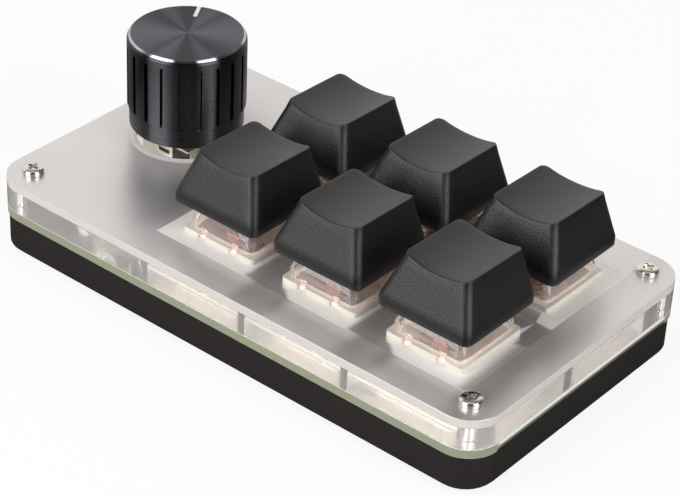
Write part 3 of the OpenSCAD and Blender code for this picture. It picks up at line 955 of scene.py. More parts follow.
def cross_outline(long: float, thick: float) -> list[Flat]:
    """Points of an upright cross.

    Args:
        long: Half length of its arms.
        thick: Half width of its arms.

    Returns:
        Twelve points, anticlockwise.
    """
    arm = [(long, -thick), (long, thick), (thick, thick)]
    return [
        point
        for turn in ((1, 0), (0, 1), (-1, 0), (0, -1))
        for point in ((x * turn[0] - y * turn[1], x * turn[1] + y * turn[0]) for x, y in arm)
    ]


def moved(points: Iterable[Flat], middle: Sequence[float]) -> list[Flat]:
    """Flat points moved to a middle."""
    return [(x + middle[0], y + middle[1]) for x, y in points]


def raised(points: Iterable[Flat], z: float) -> Loop:
    """Flat points at a height."""
    return [Vector((x, y, z)) for x, y in points]


class Shell:
    """Points and faces of a piece while it is built."""

    def __init__(self) -> None:
        """Starts empty."""
        self.points: Loop = []
        self.faces: list[list[int]] = []

    def loft(
        self, loops: Sequence[Sequence[Vector]], caps: bool = True, round_trip: bool = False
    ) -> "Shell":
        """Skins loops of equal length.

        Args:
            loops: Loops, anticlockwise seen from above where they rise.
            caps: Whether the first and the last loop are closed by a face.
            round_trip: Whether the last loop joins the first.

        Returns:
            The shell itself.
        """
        base, count = len(self.points), len(loops[0])
        for loop in loops:
            self.points += [Vector(point) for point in loop]
        steps = len(loops) if round_trip else len(loops) - 1
        for row in range(steps):
            low = base + row * count
            high = base + (row + 1) % len(loops) * count
            for k in range(count):
                after = (k + 1) % count
                self.faces.append([low + k, low + after, high + after, high + k])
        if caps and not round_trip:
            self.faces.append([base + k for k in reversed(range(count))])
            last = base + (len(loops) - 1) * count
            self.faces.append([last + k for k in range(count)])
        return self

    def lathe(
        self, section: Sequence[Flat], middle: Sequence[float], angles: Sequence[float]
    ) -> "Shell":
        """Turns a section of (radius, height) points about an upright axis.

        Args:
            section: Points from the foot on the axis, outwards, to the top on the axis.
            middle: X, Y and the height that the section counts from.
            angles: Angles of the columns.

        Returns:
            The shell itself.
        """
        turns = [(math.cos(a), math.sin(a)) for a in angles]
        loops = [
            raised(moved(((radius * x, radius * y) for x, y in turns), middle), middle[2] + up)
            for radius, up in section
        ]
        return self.loft(loops, caps=False)

    def take(self, mesh: Mesh) -> "Shell":
        """Adds the points and faces of a mesh.

        Args:
            mesh: Mesh that is added, and removed from the file.

        Returns:
            The shell itself.
        """
        base = len(self.points)
        self.points += [vertex.co.copy() for vertex in mesh.vertices]
        self.faces += [[base + k for k in face.vertices] for face in mesh.polygons]
        bpy.data.meshes.remove(mesh)
        return self

    def mesh(self, name: str, angle: float = SMOOTH_ANGLE) -> Mesh:
        """Closed mesh with its doubles merged and its faces outwards.

        Args:
            name: Name of the mesh.
            angle: Angle up to which faces are shaded smoothly.

        Returns:
            The mesh.
        """
        mesh = bpy.data.meshes.new(name)
        mesh.from_pydata(self.points, [], self.faces)
        cleaned(mesh, MERGE_GAP)
        return smooth(mesh, angle)


def cleaned(mesh: Mesh, gap: float, dissolve: float = 0.0) -> None:
    """Merges doubles, drops flat edges and turns the faces outwards.

    Args:
        mesh: Mesh that is changed.
        gap: Points closer than this are merged.
        dissolve: Angle up to which edges between faces are dropped; 0 keeps all.
    """
    work = bmesh.new()
    work.from_mesh(mesh)
    bmesh.ops.remove_doubles(work, verts=work.verts, dist=gap)
    bmesh.ops.dissolve_degenerate(work, edges=work.edges, dist=gap)
    if dissolve:
        bmesh.ops.dissolve_limit(work, angle_limit=dissolve, verts=work.verts, edges=work.edges)
    bmesh.ops.recalc_face_normals(work, faces=work.faces)
    work.to_mesh(mesh)
    work.free()


def flat_mesh(
    outline: Sequence[Flat], holes: Sequence[Sequence[Flat]], low: float, high: float, edge: float
) -> Mesh:
    """Flat sheet with holes and rounded edges.

    Args:
        outline: Points of its outline.
        holes: Points of each hole.
        low: Height of its lower face.
        high: Height of its upper face.
        edge: Radius of its edges.

    Returns:
        The mesh, in place.
    """
    curve = bpy.data.curves.new("sheet", "CURVE")
    curve.dimensions, curve.fill_mode = "2D", "BOTH"
    curve.extrude = (high - low) / 2 - edge
    curve.bevel_depth, curve.bevel_resolution, curve.offset = edge, 2, -edge
    for loop in (outline, *holes):
        spline = curve.splines.new("POLY")
        spline.points.add(len(loop) - 1)
        spline.use_cyclic_u = True
        for point, (x, y) in zip(spline.points, loop):
            point.co = (x, y, 0, 1)
    piece = show("sheet", curve)
    mesh = final_mesh(piece)
    bpy.data.objects.remove(piece)
    bpy.data.curves.remove(curve)
    mesh.transform(Matrix.Translation((0, 0, (low + high) / 2)))
    cleaned(mesh, MERGE_GAP)
    return mesh


def cut(piece: Piece, tool: Piece) -> Piece:
    """Cuts a closed tool out of a closed piece.

    Args:
        piece: Piece that is cut; it is used up.
        tool: Tool that is cut out of it; it is used up.

    Returns:
        The cut piece.
    """
    change = piece.modifiers.new("cut", "BOOLEAN")
    change.operation, change.solver, change.object = "DIFFERENCE", "EXACT", tool
    made = settle(piece)
    bpy.data.objects.remove(tool)
    return made


def placed(piece: Piece, finish: Finish, body: Body | str, node: str) -> Piece:
    """Gives a piece its finish and body, and lets it stand for a node.

    Args:
        piece: Finished mesh object at the origin.
        finish: Finish that it takes.
        body: Body that it moves with.
        node: Node that it stands for.

    Returns:
        The piece.
    """
    piece.data.materials.clear()
    piece.data.materials.append(finish.material())
    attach(piece, body.value if isinstance(body, Body) else body)
    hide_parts(node)
    log.info("%s stands for %s", piece.name, node)
    return piece


def eased(
    name: str, node: str, width: float, finish: Finish, body: Body | str, segments: int = 2
) -> Piece:
    """Lets a copy of a node stand for it that has its sharp edges rounded.

    Args:
        name: Name of the piece.
        node: Node that is copied.
        width: Width of the rounding.
        finish: Finish of the piece.
        body: Body that it moves with.
        segments: Steps of the rounding.

    Returns:
        The piece.
    """
    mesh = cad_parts[node].data.copy()
    mesh.materials.clear()
    cleaned(mesh, NODE_MERGE_GAP, FLAT_ANGLE)
    piece = show(name, mesh)
    edges = piece.modifiers.new("edges", "BEVEL")
    edges.width, edges.segments = width, segments
    edges.limit_method, edges.angle_limit = "ANGLE", SHARP_EDGE_ANGLE
    edges.use_clamp_overlap, edges.miter_outer = True, "MITER_ARC"
    return placed(settle(piece, BROKEN_EDGE_ANGLE), finish, body, node)


def dressed(node: str, finish: Finish) -> None:
    """Gives a node of the frame its finish.

    Args:
        node: Node, which keeps its shape.
        finish: Finish that it takes.
    """
    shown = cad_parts[node]
    shown.data.materials.clear()
    shown.data.materials.append(finish.material())
    log.info("%s keeps its shape", node)


def middle_of(node: str) -> Vector:
    """Middle of a node's box."""
    low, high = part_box(node)
    return (low + high) / 2


# ---- geometry nodes


class Growth(Graph):
    """Geometry Nodes tree with named inputs, ended by Realize and Set Material."""

    KINDS = {int: "NodeSocketInt", float: "NodeSocketFloat", Piece: "NodeSocketObject"}

    def __init__(self, name: str, inputs: dict[str, Any]) -> None:
        """Makes the tree.

        Args:
            name: Name of the tree.
            inputs: Value of each named input.
        """
        super().__init__(bpy.data.node_groups.new(name, "GeometryNodeTree"))
        face = self.tree.interface
        face.new_socket("Geometry", in_out="INPUT", socket_type="NodeSocketGeometry")
        face.new_socket("Geometry", in_out="OUTPUT", socket_type="NodeSocketGeometry")
        self.values: dict[str, Any] = {}
        for key, value in inputs.items():
            socket = face.new_socket(key, in_out="INPUT", socket_type=self.KINDS[type(value)])
            self.values[socket.identifier] = value
        self.start = self.tree.nodes.new("NodeGroupInput")

    def input(self, name: str) -> Sock:
        """One of the tree's inputs."""
        return Sock(self, self.start.outputs[name])

    def grow(self, shape: Sock, finish: Finish, seed: Piece) -> Piece:
        """Ends the tree, runs it on an object and keeps the plain result.

        Args:
            shape: Geometry that the tree has made.
            finish: Finish of the result.
            seed: Object that the tree starts from; it is used up.

        Returns:
            Plain mesh object with the seed's name.
        """
        solid = self.node("GeometryNodeRealizeInstances", None, {"Geometry": shape})
        coat = {"Geometry": solid, "Material": finish.material()}
        coated = self.node("GeometryNodeSetMaterial", None, coat)
        end = self.tree.nodes.new("NodeGroupOutput")
        self.tree.links.new(coated.socket, end.inputs[0])
        change = seed.modifiers.new("growth", "NODES")
        change.node_group = self.tree
        for identifier, value in self.values.items():
            change[identifier] = value
        return settle(seed)


def stood_at(
    name: str, pattern: Piece, spots: Sequence[Sequence[float]], finish: Finish,
    seed: int, spread: float,
) -> Piece:
    """Stands one pattern at several spots, each turned a little differently.

    Args:
        name: Name of the piece.
        pattern: Object built round the Z axis; it is used up.
        spots: Where it stands.
        finish: Finish of the piece.
        seed: Seed of the turns.
        spread: Largest turn, in radians.

    Returns:
        One mesh object with all of them.
    """
    mesh = bpy.data.meshes.new(name)
    mesh.from_pydata([Vector(spot) for spot in spots], [], [])
    tree = Growth(name, {"Pattern": pattern, "Turn": spread, "Seed": seed})
    turn = tree.node("FunctionNodeRandomValue", {"data_type": "FLOAT_VECTOR"}, {
        0: (0, 0, 0), 1: (0, 0, 1), "Seed": tree.input("Seed"),
    })
    turn = tree.vectors("SCALE", turn, tree.input("Turn"))
    source = {"Object": tree.input("Pattern")}
    shape = tree.node("GeometryNodeObjectInfo", None, source, "Geometry")
    stood = tree.node("GeometryNodeInstanceOnPoints", None, {
        "Points": tree.input("Geometry"), "Instance": shape, "Rotation": turn,
    })
    made = tree.grow(stood, finish, show(name, mesh))
    bpy.data.objects.remove(pattern)
    return made


# ---- the case


@dataclass
class Case:
    """Tray, feet and case screws.

    Attributes:
        tray_edge: Rounding of the tray's edges.
        foot_radius: Radius of a foot.
        foot_edge: Rounding of the feet.
        foot_hollow: Depth of the flat hollow under a foot.
        hollow_shares: Shares of the radius where the hollow is full and where it ends.
        head_radius: Radius of a screw head.
        head_edge: Rounding of a screw head's lower rim.
        head_side: Share of a head's height that stands upright.
        head_flat: Power of the crown's curve; 1 is a quarter circle, less is flatter.
        recess: Length, width and depth of one arm of the cross recess.
        recess_levels: Share of the arms and height, in depths, of each of its levels.
        shank_radius: Radius of the threaded rod.
        pitch: Rise of the screw thread in one turn.
        thread_depth: Depth of the thread.
        tip: Length of the rod's blunt end, and how much thinner it gets.
        steps: Columns of points round the rod.
        rows: Rows of points to one turn of the thread.
    """

    tray_edge: float = 0.22 * MM
    foot_radius: float = 4 * MM
    foot_edge: float = 0.25 * MM
    foot_hollow: float = 0.06 * MM
    hollow_shares: Flat = (0.82, 0.86)
    head_radius: float = 1.9 * MM
    head_edge: float = 0.12 * MM
    head_side: float = 0.42
    head_flat: float = 0.6
    recess: tuple[float, float, float] = (2.2 * MM, 0.72 * MM, 0.75 * MM)
    recess_levels: tuple[Flat, ...] = ((0.5, -1.0), (0.92, -0.3), (1.0, 1.0))
    shank_radius: float = 1.0 * MM
    pitch: float = 0.4 * MM
    thread_depth: float = 0.16 * MM
    tip: Flat = (0.5 * MM, 0.3 * MM)
    steps: int = 32
    rows: int = 6

    def corner_spots(self, node: str, radius: float) -> list[Flat]:
        """Middles of four round parts of one node, one in each corner of its box."""
        low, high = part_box(node)
        return [(x, y) for x in (low.x + radius, high.x - radius) for y in (low.y + radius, high.y - radius)]

    def screw_spots(self) -> list[Flat]:
        """Where the four screws stand."""
        return self.corner_spots("case_screws", self.head_radius)

    def tray(self, finish: Finish) -> None:
        """The tray, with its edges broken."""
        eased("tray_shell", "bottom_tray", self.tray_edge, finish, Body.CASE, 3)

    def feet(self, finish: Finish) -> None:
        """Four rubber feet with rounded rims and a shallow hollow.

        Args:
            finish: Finish of the feet.
        """
        low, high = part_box("rubber_feet")
        radius, height, edge = self.foot_radius, high.z - low.z, self.foot_edge
        full, ends = (radius * share for share in self.hollow_shares)
        bend = [(radius - edge + out, up) for out, up in quarter(edge, 4)]
        section = [(0, self.foot_hollow), (full, self.foot_hollow), (ends, 0), *bend,
                   (radius, height), (0, height)]
        shape = Shell().lathe(section, (0, 0, low.z), full_turn(64)).mesh("foot")
        spots = [(x, y, 0) for x, y in self.corner_spots("rubber_feet", radius)]
        piece = stood_at("foot_pads", show("foot", shape), spots, finish, 1, 0.0)
        placed(piece, finish, Body.CASE, "rubber_feet")

    def head(self, top: float, deck: float) -> Piece:
        """Pan head with a cross recess, round the Z axis.

        Args:
            top: Height of its crown.
            deck: Height of its seat.

        Returns:
            The head.
        """
        radius, edge, height = self.head_radius, self.head_edge, top - deck
        side = height * self.head_side
        power = self.head_flat
        crown = [
            (radius * math.cos(a) ** power, side + (height - side) * math.sin(a) ** power)
            for a in (k * math.pi / 20 for k in range(1, 10))
        ]
        section = [(0, 0), (radius - edge, 0), (radius, edge), (radius, side), *crown,
                   (0, height)]
        blank = show("head", Shell().lathe(section, (0, 0, deck), full_turn(64)).mesh("head"))
        arm, width, depth = self.recess
        tool = Shell().loft([
            raised(cross_outline(arm / 2 * share, width / 2 * share), top + level * depth)
            for share, level in self.recess_levels
        ])
        return cut(blank, show("recess", tool.mesh("recess")))

    def shank(self, bottom: float, top: float) -> Mesh:
        """Threaded rod with a blunt end.

        Args:
            bottom: Height of its end.
            top: Height of the seat under the head.

        Returns:
            The mesh.
        """
        rows = math.ceil((top - bottom) / self.pitch * self.rows)
        tip_length, tip_step = self.tip
        loops = []
        for row in range(rows + 1):
            height = bottom + (top - bottom) * row / rows
            full = min(1.0, (height - bottom) / tip_length)
            radius = self.shank_radius - tip_step * (1 - full)
            loops.append(thread_ring(
                (0, 0), radius, self.thread_depth * full, self.pitch, height, self.steps
            ))
        return Shell().loft(loops).mesh("shank", SCREW_THREAD_ANGLE)

    def screws(self, finish: Finish) -> None:
        """Four case screws, each stopped at its own turn.

        Args:
            finish: Finish of the screws.
        """
        low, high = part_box("case_screws")
        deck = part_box("top_plate")[1].z
        head = self.head(high.z, deck)
        both = Shell().take(head.data.copy()).take(self.shank(low.z, deck))
        bpy.data.objects.remove(head)
        screw = show("screw", both.mesh("screw"))
        spots = [(x, y, 0) for x, y in self.screw_spots()]
        piece = stood_at("cross_screws", screw, spots, finish, 5, math.pi / 2)
        placed(piece, finish, Body.CASE, "case_screws")


@dataclass
class Stack:
    """The circuit board, the clear frame and the frosted plate.

    Attributes:
        edge: Rounding of the acrylic's laser-cut edges.
        board_edge: Chamfer of the board's edges.
        seat_gap: Air left above and below the clear frame.
        window: Side of the clear frame's windows.
        hole: Side of the switch holes in the plate.
        square_corner: Radius of the corners of windows and holes.
        dial_hole: Radius of the encoder's hole.
        screw_hole: Radius of the screw holes.
        corner: Radius of the upright corners.
        screws: Where the screws go through.
    """

    edge: float = 0.10 * MM
    board_edge: float = 0.03 * MM
    seat_gap: float = 0.01 * MM
    window: float = 20.4 * MM
    hole: float = 14.0 * MM
    square_corner: float = 0.3 * MM
    dial_hole: float = 9.0 * MM
    screw_hole: float = 1.15 * MM
    corner: float = 6.0 * MM
    screws: Sequence[Flat] = field(default_factory=list)

    def sheet(self, node: str, square: float, gap: float) -> Mesh:
        """One acrylic layer.

        Args:
            node: Node that gives its outline and heights.
            square: Side of its square openings.
            gap: Air left above and below it.

        Returns:
            The mesh.
        """
        low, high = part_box(node)
        outline = round_rect(high.x - low.x, high.y - low.y, self.corner, 24)
        opening = round_rect(square, square, self.square_corner, 4)
        holes = [moved(opening, middle_of(f"keycap_{n}")) for n in KEY_NUMBERS]
        holes.append(moved(circle(self.dial_hole, 96), middle_of("encoder_bushing")))
        holes += [moved(circle(self.screw_hole, 32), spot) for spot in self.screws]
        layer = flat_mesh(outline, holes, low.z + gap, high.z - gap, self.edge)
        return smooth(layer, SHEET_ANGLE)

    def build(self, board: Finish, clear: Finish, frosted: Finish) -> None:
        """Makes and finishes the three layers.

        Args:
            board: Finish of the circuit board.
            clear: Finish of the clear frame.
            frosted: Finish of the plate.
        """
        plate = show("frosted_sheet", self.sheet("top_plate", self.hole, 0.0))
        placed(plate, frosted, Body.CASE, "top_plate")
        spacer = show("clear_frame", self.sheet("spacer_frame", self.window, self.seat_gap))
        placed(spacer, clear, Body.CASE, "spacer_frame")
        eased("green_board", "circuit_board", self.board_edge, board, Body.CASE, 1)


# ---- the keys


class End(Enum):
    """Ends of a keycap's sides."""

    BASE = "base"
    TOP = "top"


@dataclass
class KeycapShape:
    """Scooped keycap, counted from the middle of its base.

    Attributes:
        base: Side of the keycap at its base.
        top: Width and depth of its top.
        set_back: How far the top is set back.
        height: Height at the front.
        fall: Fall of the top from front to back.
        rise: Height of the keycap's base above the deck.
        skirt: Height of the upright skirt.
        shoulder: How far below the top plane the slope of the sides ends.
        wall: Thickness of the wall.
        roof: Thickness of the roof.
        corner: Radius of the upright corners.
        least_corner: Least radius of them inside a wall, and at a rounded edge.
        scoop: Radius of the finger scoop.
        bite: How far the scoop bites below the top's side edges.
        brim: Rounding of the top edges.
        lip: Rounding of the bottom edges.
        post: Radius of the post that takes the stem's cross.
        post_edge: Rounding of the post's foot.
        post_low: Height of the post's foot above the deck.
        sink: How far the post reaches into the roof.
        cross: Length and thickness of the cross recess.
        arc: Steps round an upright corner.
        side: Steps along a side.
    """

    base: float = 18.1 * MM
    top: Flat = (12.7 * MM, 14.7 * MM)
    set_back: float = 1.1 * MM
    height: float = 9.6 * MM
    fall: float = 0.4 * MM
    rise: float = 6.2 * MM
    skirt: float = 1.6 * MM
    shoulder: float = 0.6 * MM
    wall: float = 1.2 * MM
    roof: float = 2.4 * MM
    corner: float = 1.4 * MM
    least_corner: Flat = (0.3 * MM, 0.08 * MM)
    scoop: float = 21.0 * MM
    bite: float = 0.08 * MM
    brim: float = 0.24 * MM
    lip: float = 0.16 * MM
    post: float = 2.7 * MM
    post_edge: float = 0.1 * MM
    post_low: float = 7.03 * MM
    sink: float = 0.2 * MM
    cross: Flat = (4.06 * MM, 1.31 * MM)
    arc: int = 8
    side: int = 12

    def scooped(self, x: float) -> float:
        """Height of the scooped top against its edges.

        Args:
            x: Distance from the middle.

        Returns:
            The height, below 0 in the scoop.
        """
        half = self.top[0] / 2
        sag = self.scoop - math.sqrt(self.scoop**2 - half**2) + self.bite
        return self.scoop - sag - math.sqrt(max(self.scoop**2 - x * x, 0))

    def pose(self, point: Flat, height: float) -> Vector:
        """Point of the tilted top plane.

        Args:
            point: Place on the top, from its middle.
            height: Height above the top plane.

        Returns:
            The point.
        """
        lean = -math.atan(self.fall / self.top[1])
        x, y = point
        return Vector((
            x,
            self.set_back + y * math.cos(lean) - height * math.sin(lean),
            self.height - self.fall / 2 + y * math.sin(lean) + height * math.cos(lean),
        ))

    def loop(self, end: End, wall: float = 0.0, inset: float = 0.0) -> list[Flat]:
        """Rounded rectangle of the base or the top, drawn in.

        Args:
            end: End of the sides whose rectangle it is.
            wall: Wall by which the form is drawn in.
            inset: Further draw-in that keeps the corners concentric.

        Returns:
            The flat loop.
        """
        size = self.top if end is End.TOP else (self.base, self.base)
        in_wall, at_edge = self.least_corner
        radius = max(max(self.corner - wall, in_wall) - inset, at_edge)
        width, depth = (s - 2 * wall - 2 * inset for s in size)
        return round_rect(width, depth, radius, self.arc, self.side)

    def side_loops(self, steps: int = 6) -> list[Loop]:
        """Loops of the outside, from the bottom lip to the scooped top.

        Args:
            steps: Steps up the sloping sides.

        Returns:
            The loops, rising.
        """
        base = self.loop(End.BASE)
        loops = []
        for out, up in quarter(self.lip, 3):
            loops.append(raised(self.loop(End.BASE, inset=self.lip - out), up))
        loops.append(raised(base, self.skirt))
        for share in [k / steps for k in range(1, steps)] + [None]:
            loops.append(self.rising(base, 0.0, self.brim, share))
        loops += [
            self.rising(base, up, self.brim - out, None) for out, up in quarter(self.brim, 5)[1:]
        ]
        return loops

    def rising(self, base: list[Flat], inset: float, drop: float, share: float | None) -> Loop:
        """One loop of the sloping side.

        Args:
            base: Flat loop of the skirt.
            inset: Draw-in at the brim.
            drop: How far the loop lies below the scooped top.
            share: How far up the loop lies, or None at the top.

        Returns:
            The loop.
        """
        made = []
        for (base_x, base_y), point in zip(base, self.loop(End.TOP, inset=inset)):
            level = self.scooped(point[0]) - drop
            foot = Vector((base_x, base_y, self.skirt))
            knee = self.pose(point, -self.shoulder)
            if level < -self.shoulder:
                level_z = self.pose(point, level).z
                end = foot.lerp(knee, (level_z - self.skirt) / (knee.z - self.skirt))
                made.append(foot.lerp(end, 1 if share is None else share))
            elif share is None:
                made.append(self.pose(point, level))
            else:
                made.append(foot.lerp(knee, share))
        return made

    def top_loops(self, steps: int = 9) -> list[Loop]:
        """Loops of the scooped top, closing in on its middle.

        Args:
            steps: Number of loops.

        Returns:
            The loops, from the rim inwards.
        """
        rim = self.loop(End.TOP, inset=self.brim)
        scales = [1 - k / (steps + 0.2) for k in range(1, steps + 1)]
        return [
            [self.pose((x * scale, y * scale), self.scooped(x * scale)) for x, y in rim]
            for scale in scales
        ]

    def inner_loops(self) -> list[Loop]:
        """Loops of the hollow, from its roof down to the bottom lip.

        Returns:
            The loops, falling.
        """
        base, top = self.loop(End.BASE, self.wall), self.loop(End.TOP, self.wall)
        mouth = self.loop(End.BASE, self.wall - self.lip)
        return [
            [self.pose(point, -self.roof) for point in top],
            [self.pose(point, -self.roof - self.shoulder) for point in top],
            raised(base, self.skirt),
            raised(base, self.lip),
            raised(mouth, 0),
        ]

    def mesh(self) -> Mesh:
        """Hollow keycap with the post for the stem's cross.

        Returns:
            The mesh, with its foot at z = 0.
        """
        shell = Shell().loft([*self.inner_loops(), *self.side_loops(), *self.top_loops()])
        recess = cross_outline(*(size / 2 for size in self.cross))
        low, high = self.post_low - self.rise, self.height - self.roof + self.sink
        shell.take(flat_mesh(circle(self.post), [recess], low, high, self.post_edge))
        return shell.mesh("keycap")


@dataclass
class CoverShape:
    """Clear upper housing of a switch, counted from its foot.

    Attributes:
        bottom: Side at the foot.
        top: Side at the top.
        height: Height of the cover.
        shoulder: Height from which the sides lean in.
        wall: Thickness of the wall.
        corner: Radius of the outer upright corners, and its least value at the brim.
        inner_corner: Radius of the inner corners.
        brim: Rounding of the top edges.
        opening: Width and depth of the stem's opening.
        opening_corner: Radius of its corners.
        chamfer: Chamfer round the opening.
        clip_at: Distance of the clips from the middle, in millimetres.
        clip: Width, near face, far face and height of each level of a clip, in millimetres.
        clip_corner: Radius of a clip's corners, in millimetres.
    """

    bottom: float = 14.2 * MM
    top: float = 11.0 * MM
    height: float = 5.6 * MM
    shoulder: float = 1.6 * MM
    wall: float = 0.9 * MM
    corner: Flat = (1.4 * MM, 0.2 * MM)
    inner_corner: float = 0.8 * MM
    brim: float = 0.35 * MM
    opening: Flat = (7.7 * MM, 6.2 * MM)
    opening_corner: float = 0.4 * MM
    chamfer: float = 0.1 * MM
    clip_at: float = 3.4
    clip: tuple[tuple[float, float, float, float], ...] = (
        (1.60, 6.98, 7.60, -0.80),
        (1.74, 6.92, 7.66, -0.72),
        (1.74, 6.92, 7.66, -0.06),
        (1.50, 6.95, 7.25, 0.02),
        (1.50, 6.95, 7.20, 0.75),
        (1.40, 6.97, 7.10, 0.90),
    )
    clip_corner: float = 0.06

    def level(self, size: Flat, radius: float, z: float) -> Loop:
        """Loop of one level."""
        return raised(round_rect(*size, radius, 6, 6), z)

    def outside(self, z: float, inset: float = 0.0) -> Loop:
        """Loop of the outside.

        Args:
            z: Height of the loop.
            inset: How far the brim's rounding draws it in.

        Returns:
            The loop.
        """
        share = max(0.0, (z - self.shoulder) / (self.height - self.shoulder))
        side = self.bottom + (self.top - self.bottom) * share - 2 * inset
        return self.level((side, side), max(self.corner[0] - inset, self.corner[1]), z)

    def clips(self) -> list[list[Loop]]:
        """Loops of the four clips.

        Returns:
            The loops of each clip, rising.
        """
        made = []
        for sign_x, sign_y in ((-1, -1), (-1, 1), (1, -1), (1, 1)):
            loops = []
            for width, near, far, z in self.clip:
                spot = (sign_x * self.clip_at, sign_y * (near + far) / 2)
                flat = moved(round_rect(width, far - near, self.clip_corner, 3), spot)
                loops.append([Vector((x, y, z)) * MM for x, y in flat])
            made.append(loops)
        return made

    def mesh(self) -> Mesh:
        """Cover with its opening and clips.

        Returns:
            The mesh, with its foot at z = 0.
        """
        bend, ceiling = self.chamfer, self.height - self.wall
        width, depth = self.opening
        inner_top, inner_bottom = self.top - 2 * self.wall, self.bottom - 2 * self.wall
        loops = [self.outside(z) for z in (0.0, self.shoulder - bend, self.shoulder + bend)]
        loops += [self.outside(self.height * share) for share in (0.5, 0.72)]
        loops += [
            self.outside(self.height - self.brim + out, up) for out, up in quarter(self.brim, 4)
        ]
        mouth = (width + 2 * bend, depth + 2 * bend)
        loops += [
            self.level(mouth, self.opening_corner + bend, self.height),
            self.level(self.opening, self.opening_corner, self.height - bend),
            self.level(self.opening, self.opening_corner, ceiling),
        ]
        loops += [
            self.level((side, side), self.inner_corner, z)
            for side, z in (
                (inner_top - 3 * bend, ceiling), (inner_top, ceiling - 2 * bend),
                (inner_bottom, self.shoulder), (inner_bottom, 0.0),
            )
        ]
        shell = Shell().loft(loops, round_trip=True)
        for clip in self.clips():
            shell.loft(clip)
        return shell.mesh("cover")


@dataclass
class KeySwitches:
    """The six switches and their keycaps.

    Attributes:
        deck: Height of the plate's upper face.
        cap: Shape of the keycaps.
        cover: Shape of the clear covers.
        flange: Thickness of the switch flange.
        base_edge: Rounding of the switch bases.
        stem_edge: Rounding of the stems.
        wire: Radius of the spring wire.
        turns: Turns of the spring.
        travel: Travel of a key; not used.
    """

    deck: float
    cap: KeycapShape = field(default_factory=KeycapShape)
    cover: CoverShape = field(default_factory=CoverShape)
    flange: float = 1.0 * MM
    base_edge: float = 0.14 * MM
    stem_edge: float = 0.1 * MM
    wire: float = 0.17 * MM
    turns: int = 8
    travel: float = 4.0 * MM

    def spring(self, number: int, finish: Finish) -> None:
        """Coil spring of one switch.

        Args:
            number: Number of the key.
            finish: Finish of the wire.
        """
        node = f"switch_spring_{number}"
        low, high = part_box(node)
        middle = (low + high) / 2
        radius = (high.x - low.x) / 2 - self.wire
        height = high.z - low.z - 2 * self.wire
        tree = Growth(f"coil_{number}", {
            "Radius": radius, "Wire": self.wire, "Height": height, "Turns": float(self.turns),
        })
        path = tree.node("GeometryNodeCurveSpiral", None, {
            "Resolution": 28, "Rotations": tree.input("Turns"), "Height": tree.input("Height"),
            "Start Radius": tree.input("Radius"), "End Radius": tree.input("Radius"),
        })
        wire = tree.node("GeometryNodeCurvePrimitiveCircle", {"mode": "RADIUS"}, {
            "Resolution": 10, "Radius": tree.input("Wire"),
        })
        tube = tree.node("GeometryNodeCurveToMesh", None, {
            "Curve": path, "Profile Curve": wire, "Fill Caps": True,
        })
        coil = tree.node("GeometryNodeTransform", None, {
            "Geometry": tube, "Translation": (middle.x, middle.y, low.z + self.wire),
        })
        seed = show(f"coil_spring_{number}", bpy.data.meshes.new("seed"))
        piece = placed(tree.grow(coil, finish, seed), finish, Body.CASE, node)
        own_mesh(piece)

    def copy_at(self, name: str, mesh: Mesh, middle: Vector, above: float) -> Piece:
        """Copy of a shared mesh over one key's place.

        Args:
            name: Name of the copy.
            mesh: Shared mesh, with its foot at z = 0.
            middle: Middle of the key.
            above: Height of the copy's foot above the deck.

        Returns:
            The copy, moved within its mesh.
        """
        made = mesh.copy()
        made.transform(Matrix.Translation((middle.x, middle.y, self.deck + above)))
        return show(name, made)

    def build(self, finishes: dict[str, Finish]) -> None:
        """Makes and finishes all six.

        Args:
            finishes: Finishes by slot.
        """
        cap, cover = self.cap.mesh(), self.cover.mesh()
        for number in KEY_NUMBERS:
            middle, body = middle_of(f"keycap_{number}"), f"key_{number}"
            placed(self.copy_at(f"cap_{number}", cap, middle, self.cap.rise),
                   finishes["keycap_black"], body, f"keycap_{number}")
            placed(self.copy_at(f"housing_top_{number}", cover, middle, self.flange),
                   finishes["cover_clear"], Body.CASE, f"switch_cover_{number}")
            eased(f"housing_base_{number}", f"switch_base_{number}", self.base_edge,
                  finishes["switch_cream"], Body.CASE)
            eased(f"slider_{number}", f"switch_stem_{number}", self.stem_edge,
                  finishes["stem_plastic"], body)
            dressed(f"switch_contacts_{number}", finishes["contact_copper"])
            self.spring(number, finishes["spring_steel"])
        bpy.data.meshes.remove(cap)
        bpy.data.meshes.remove(cover)


# ---- the dial


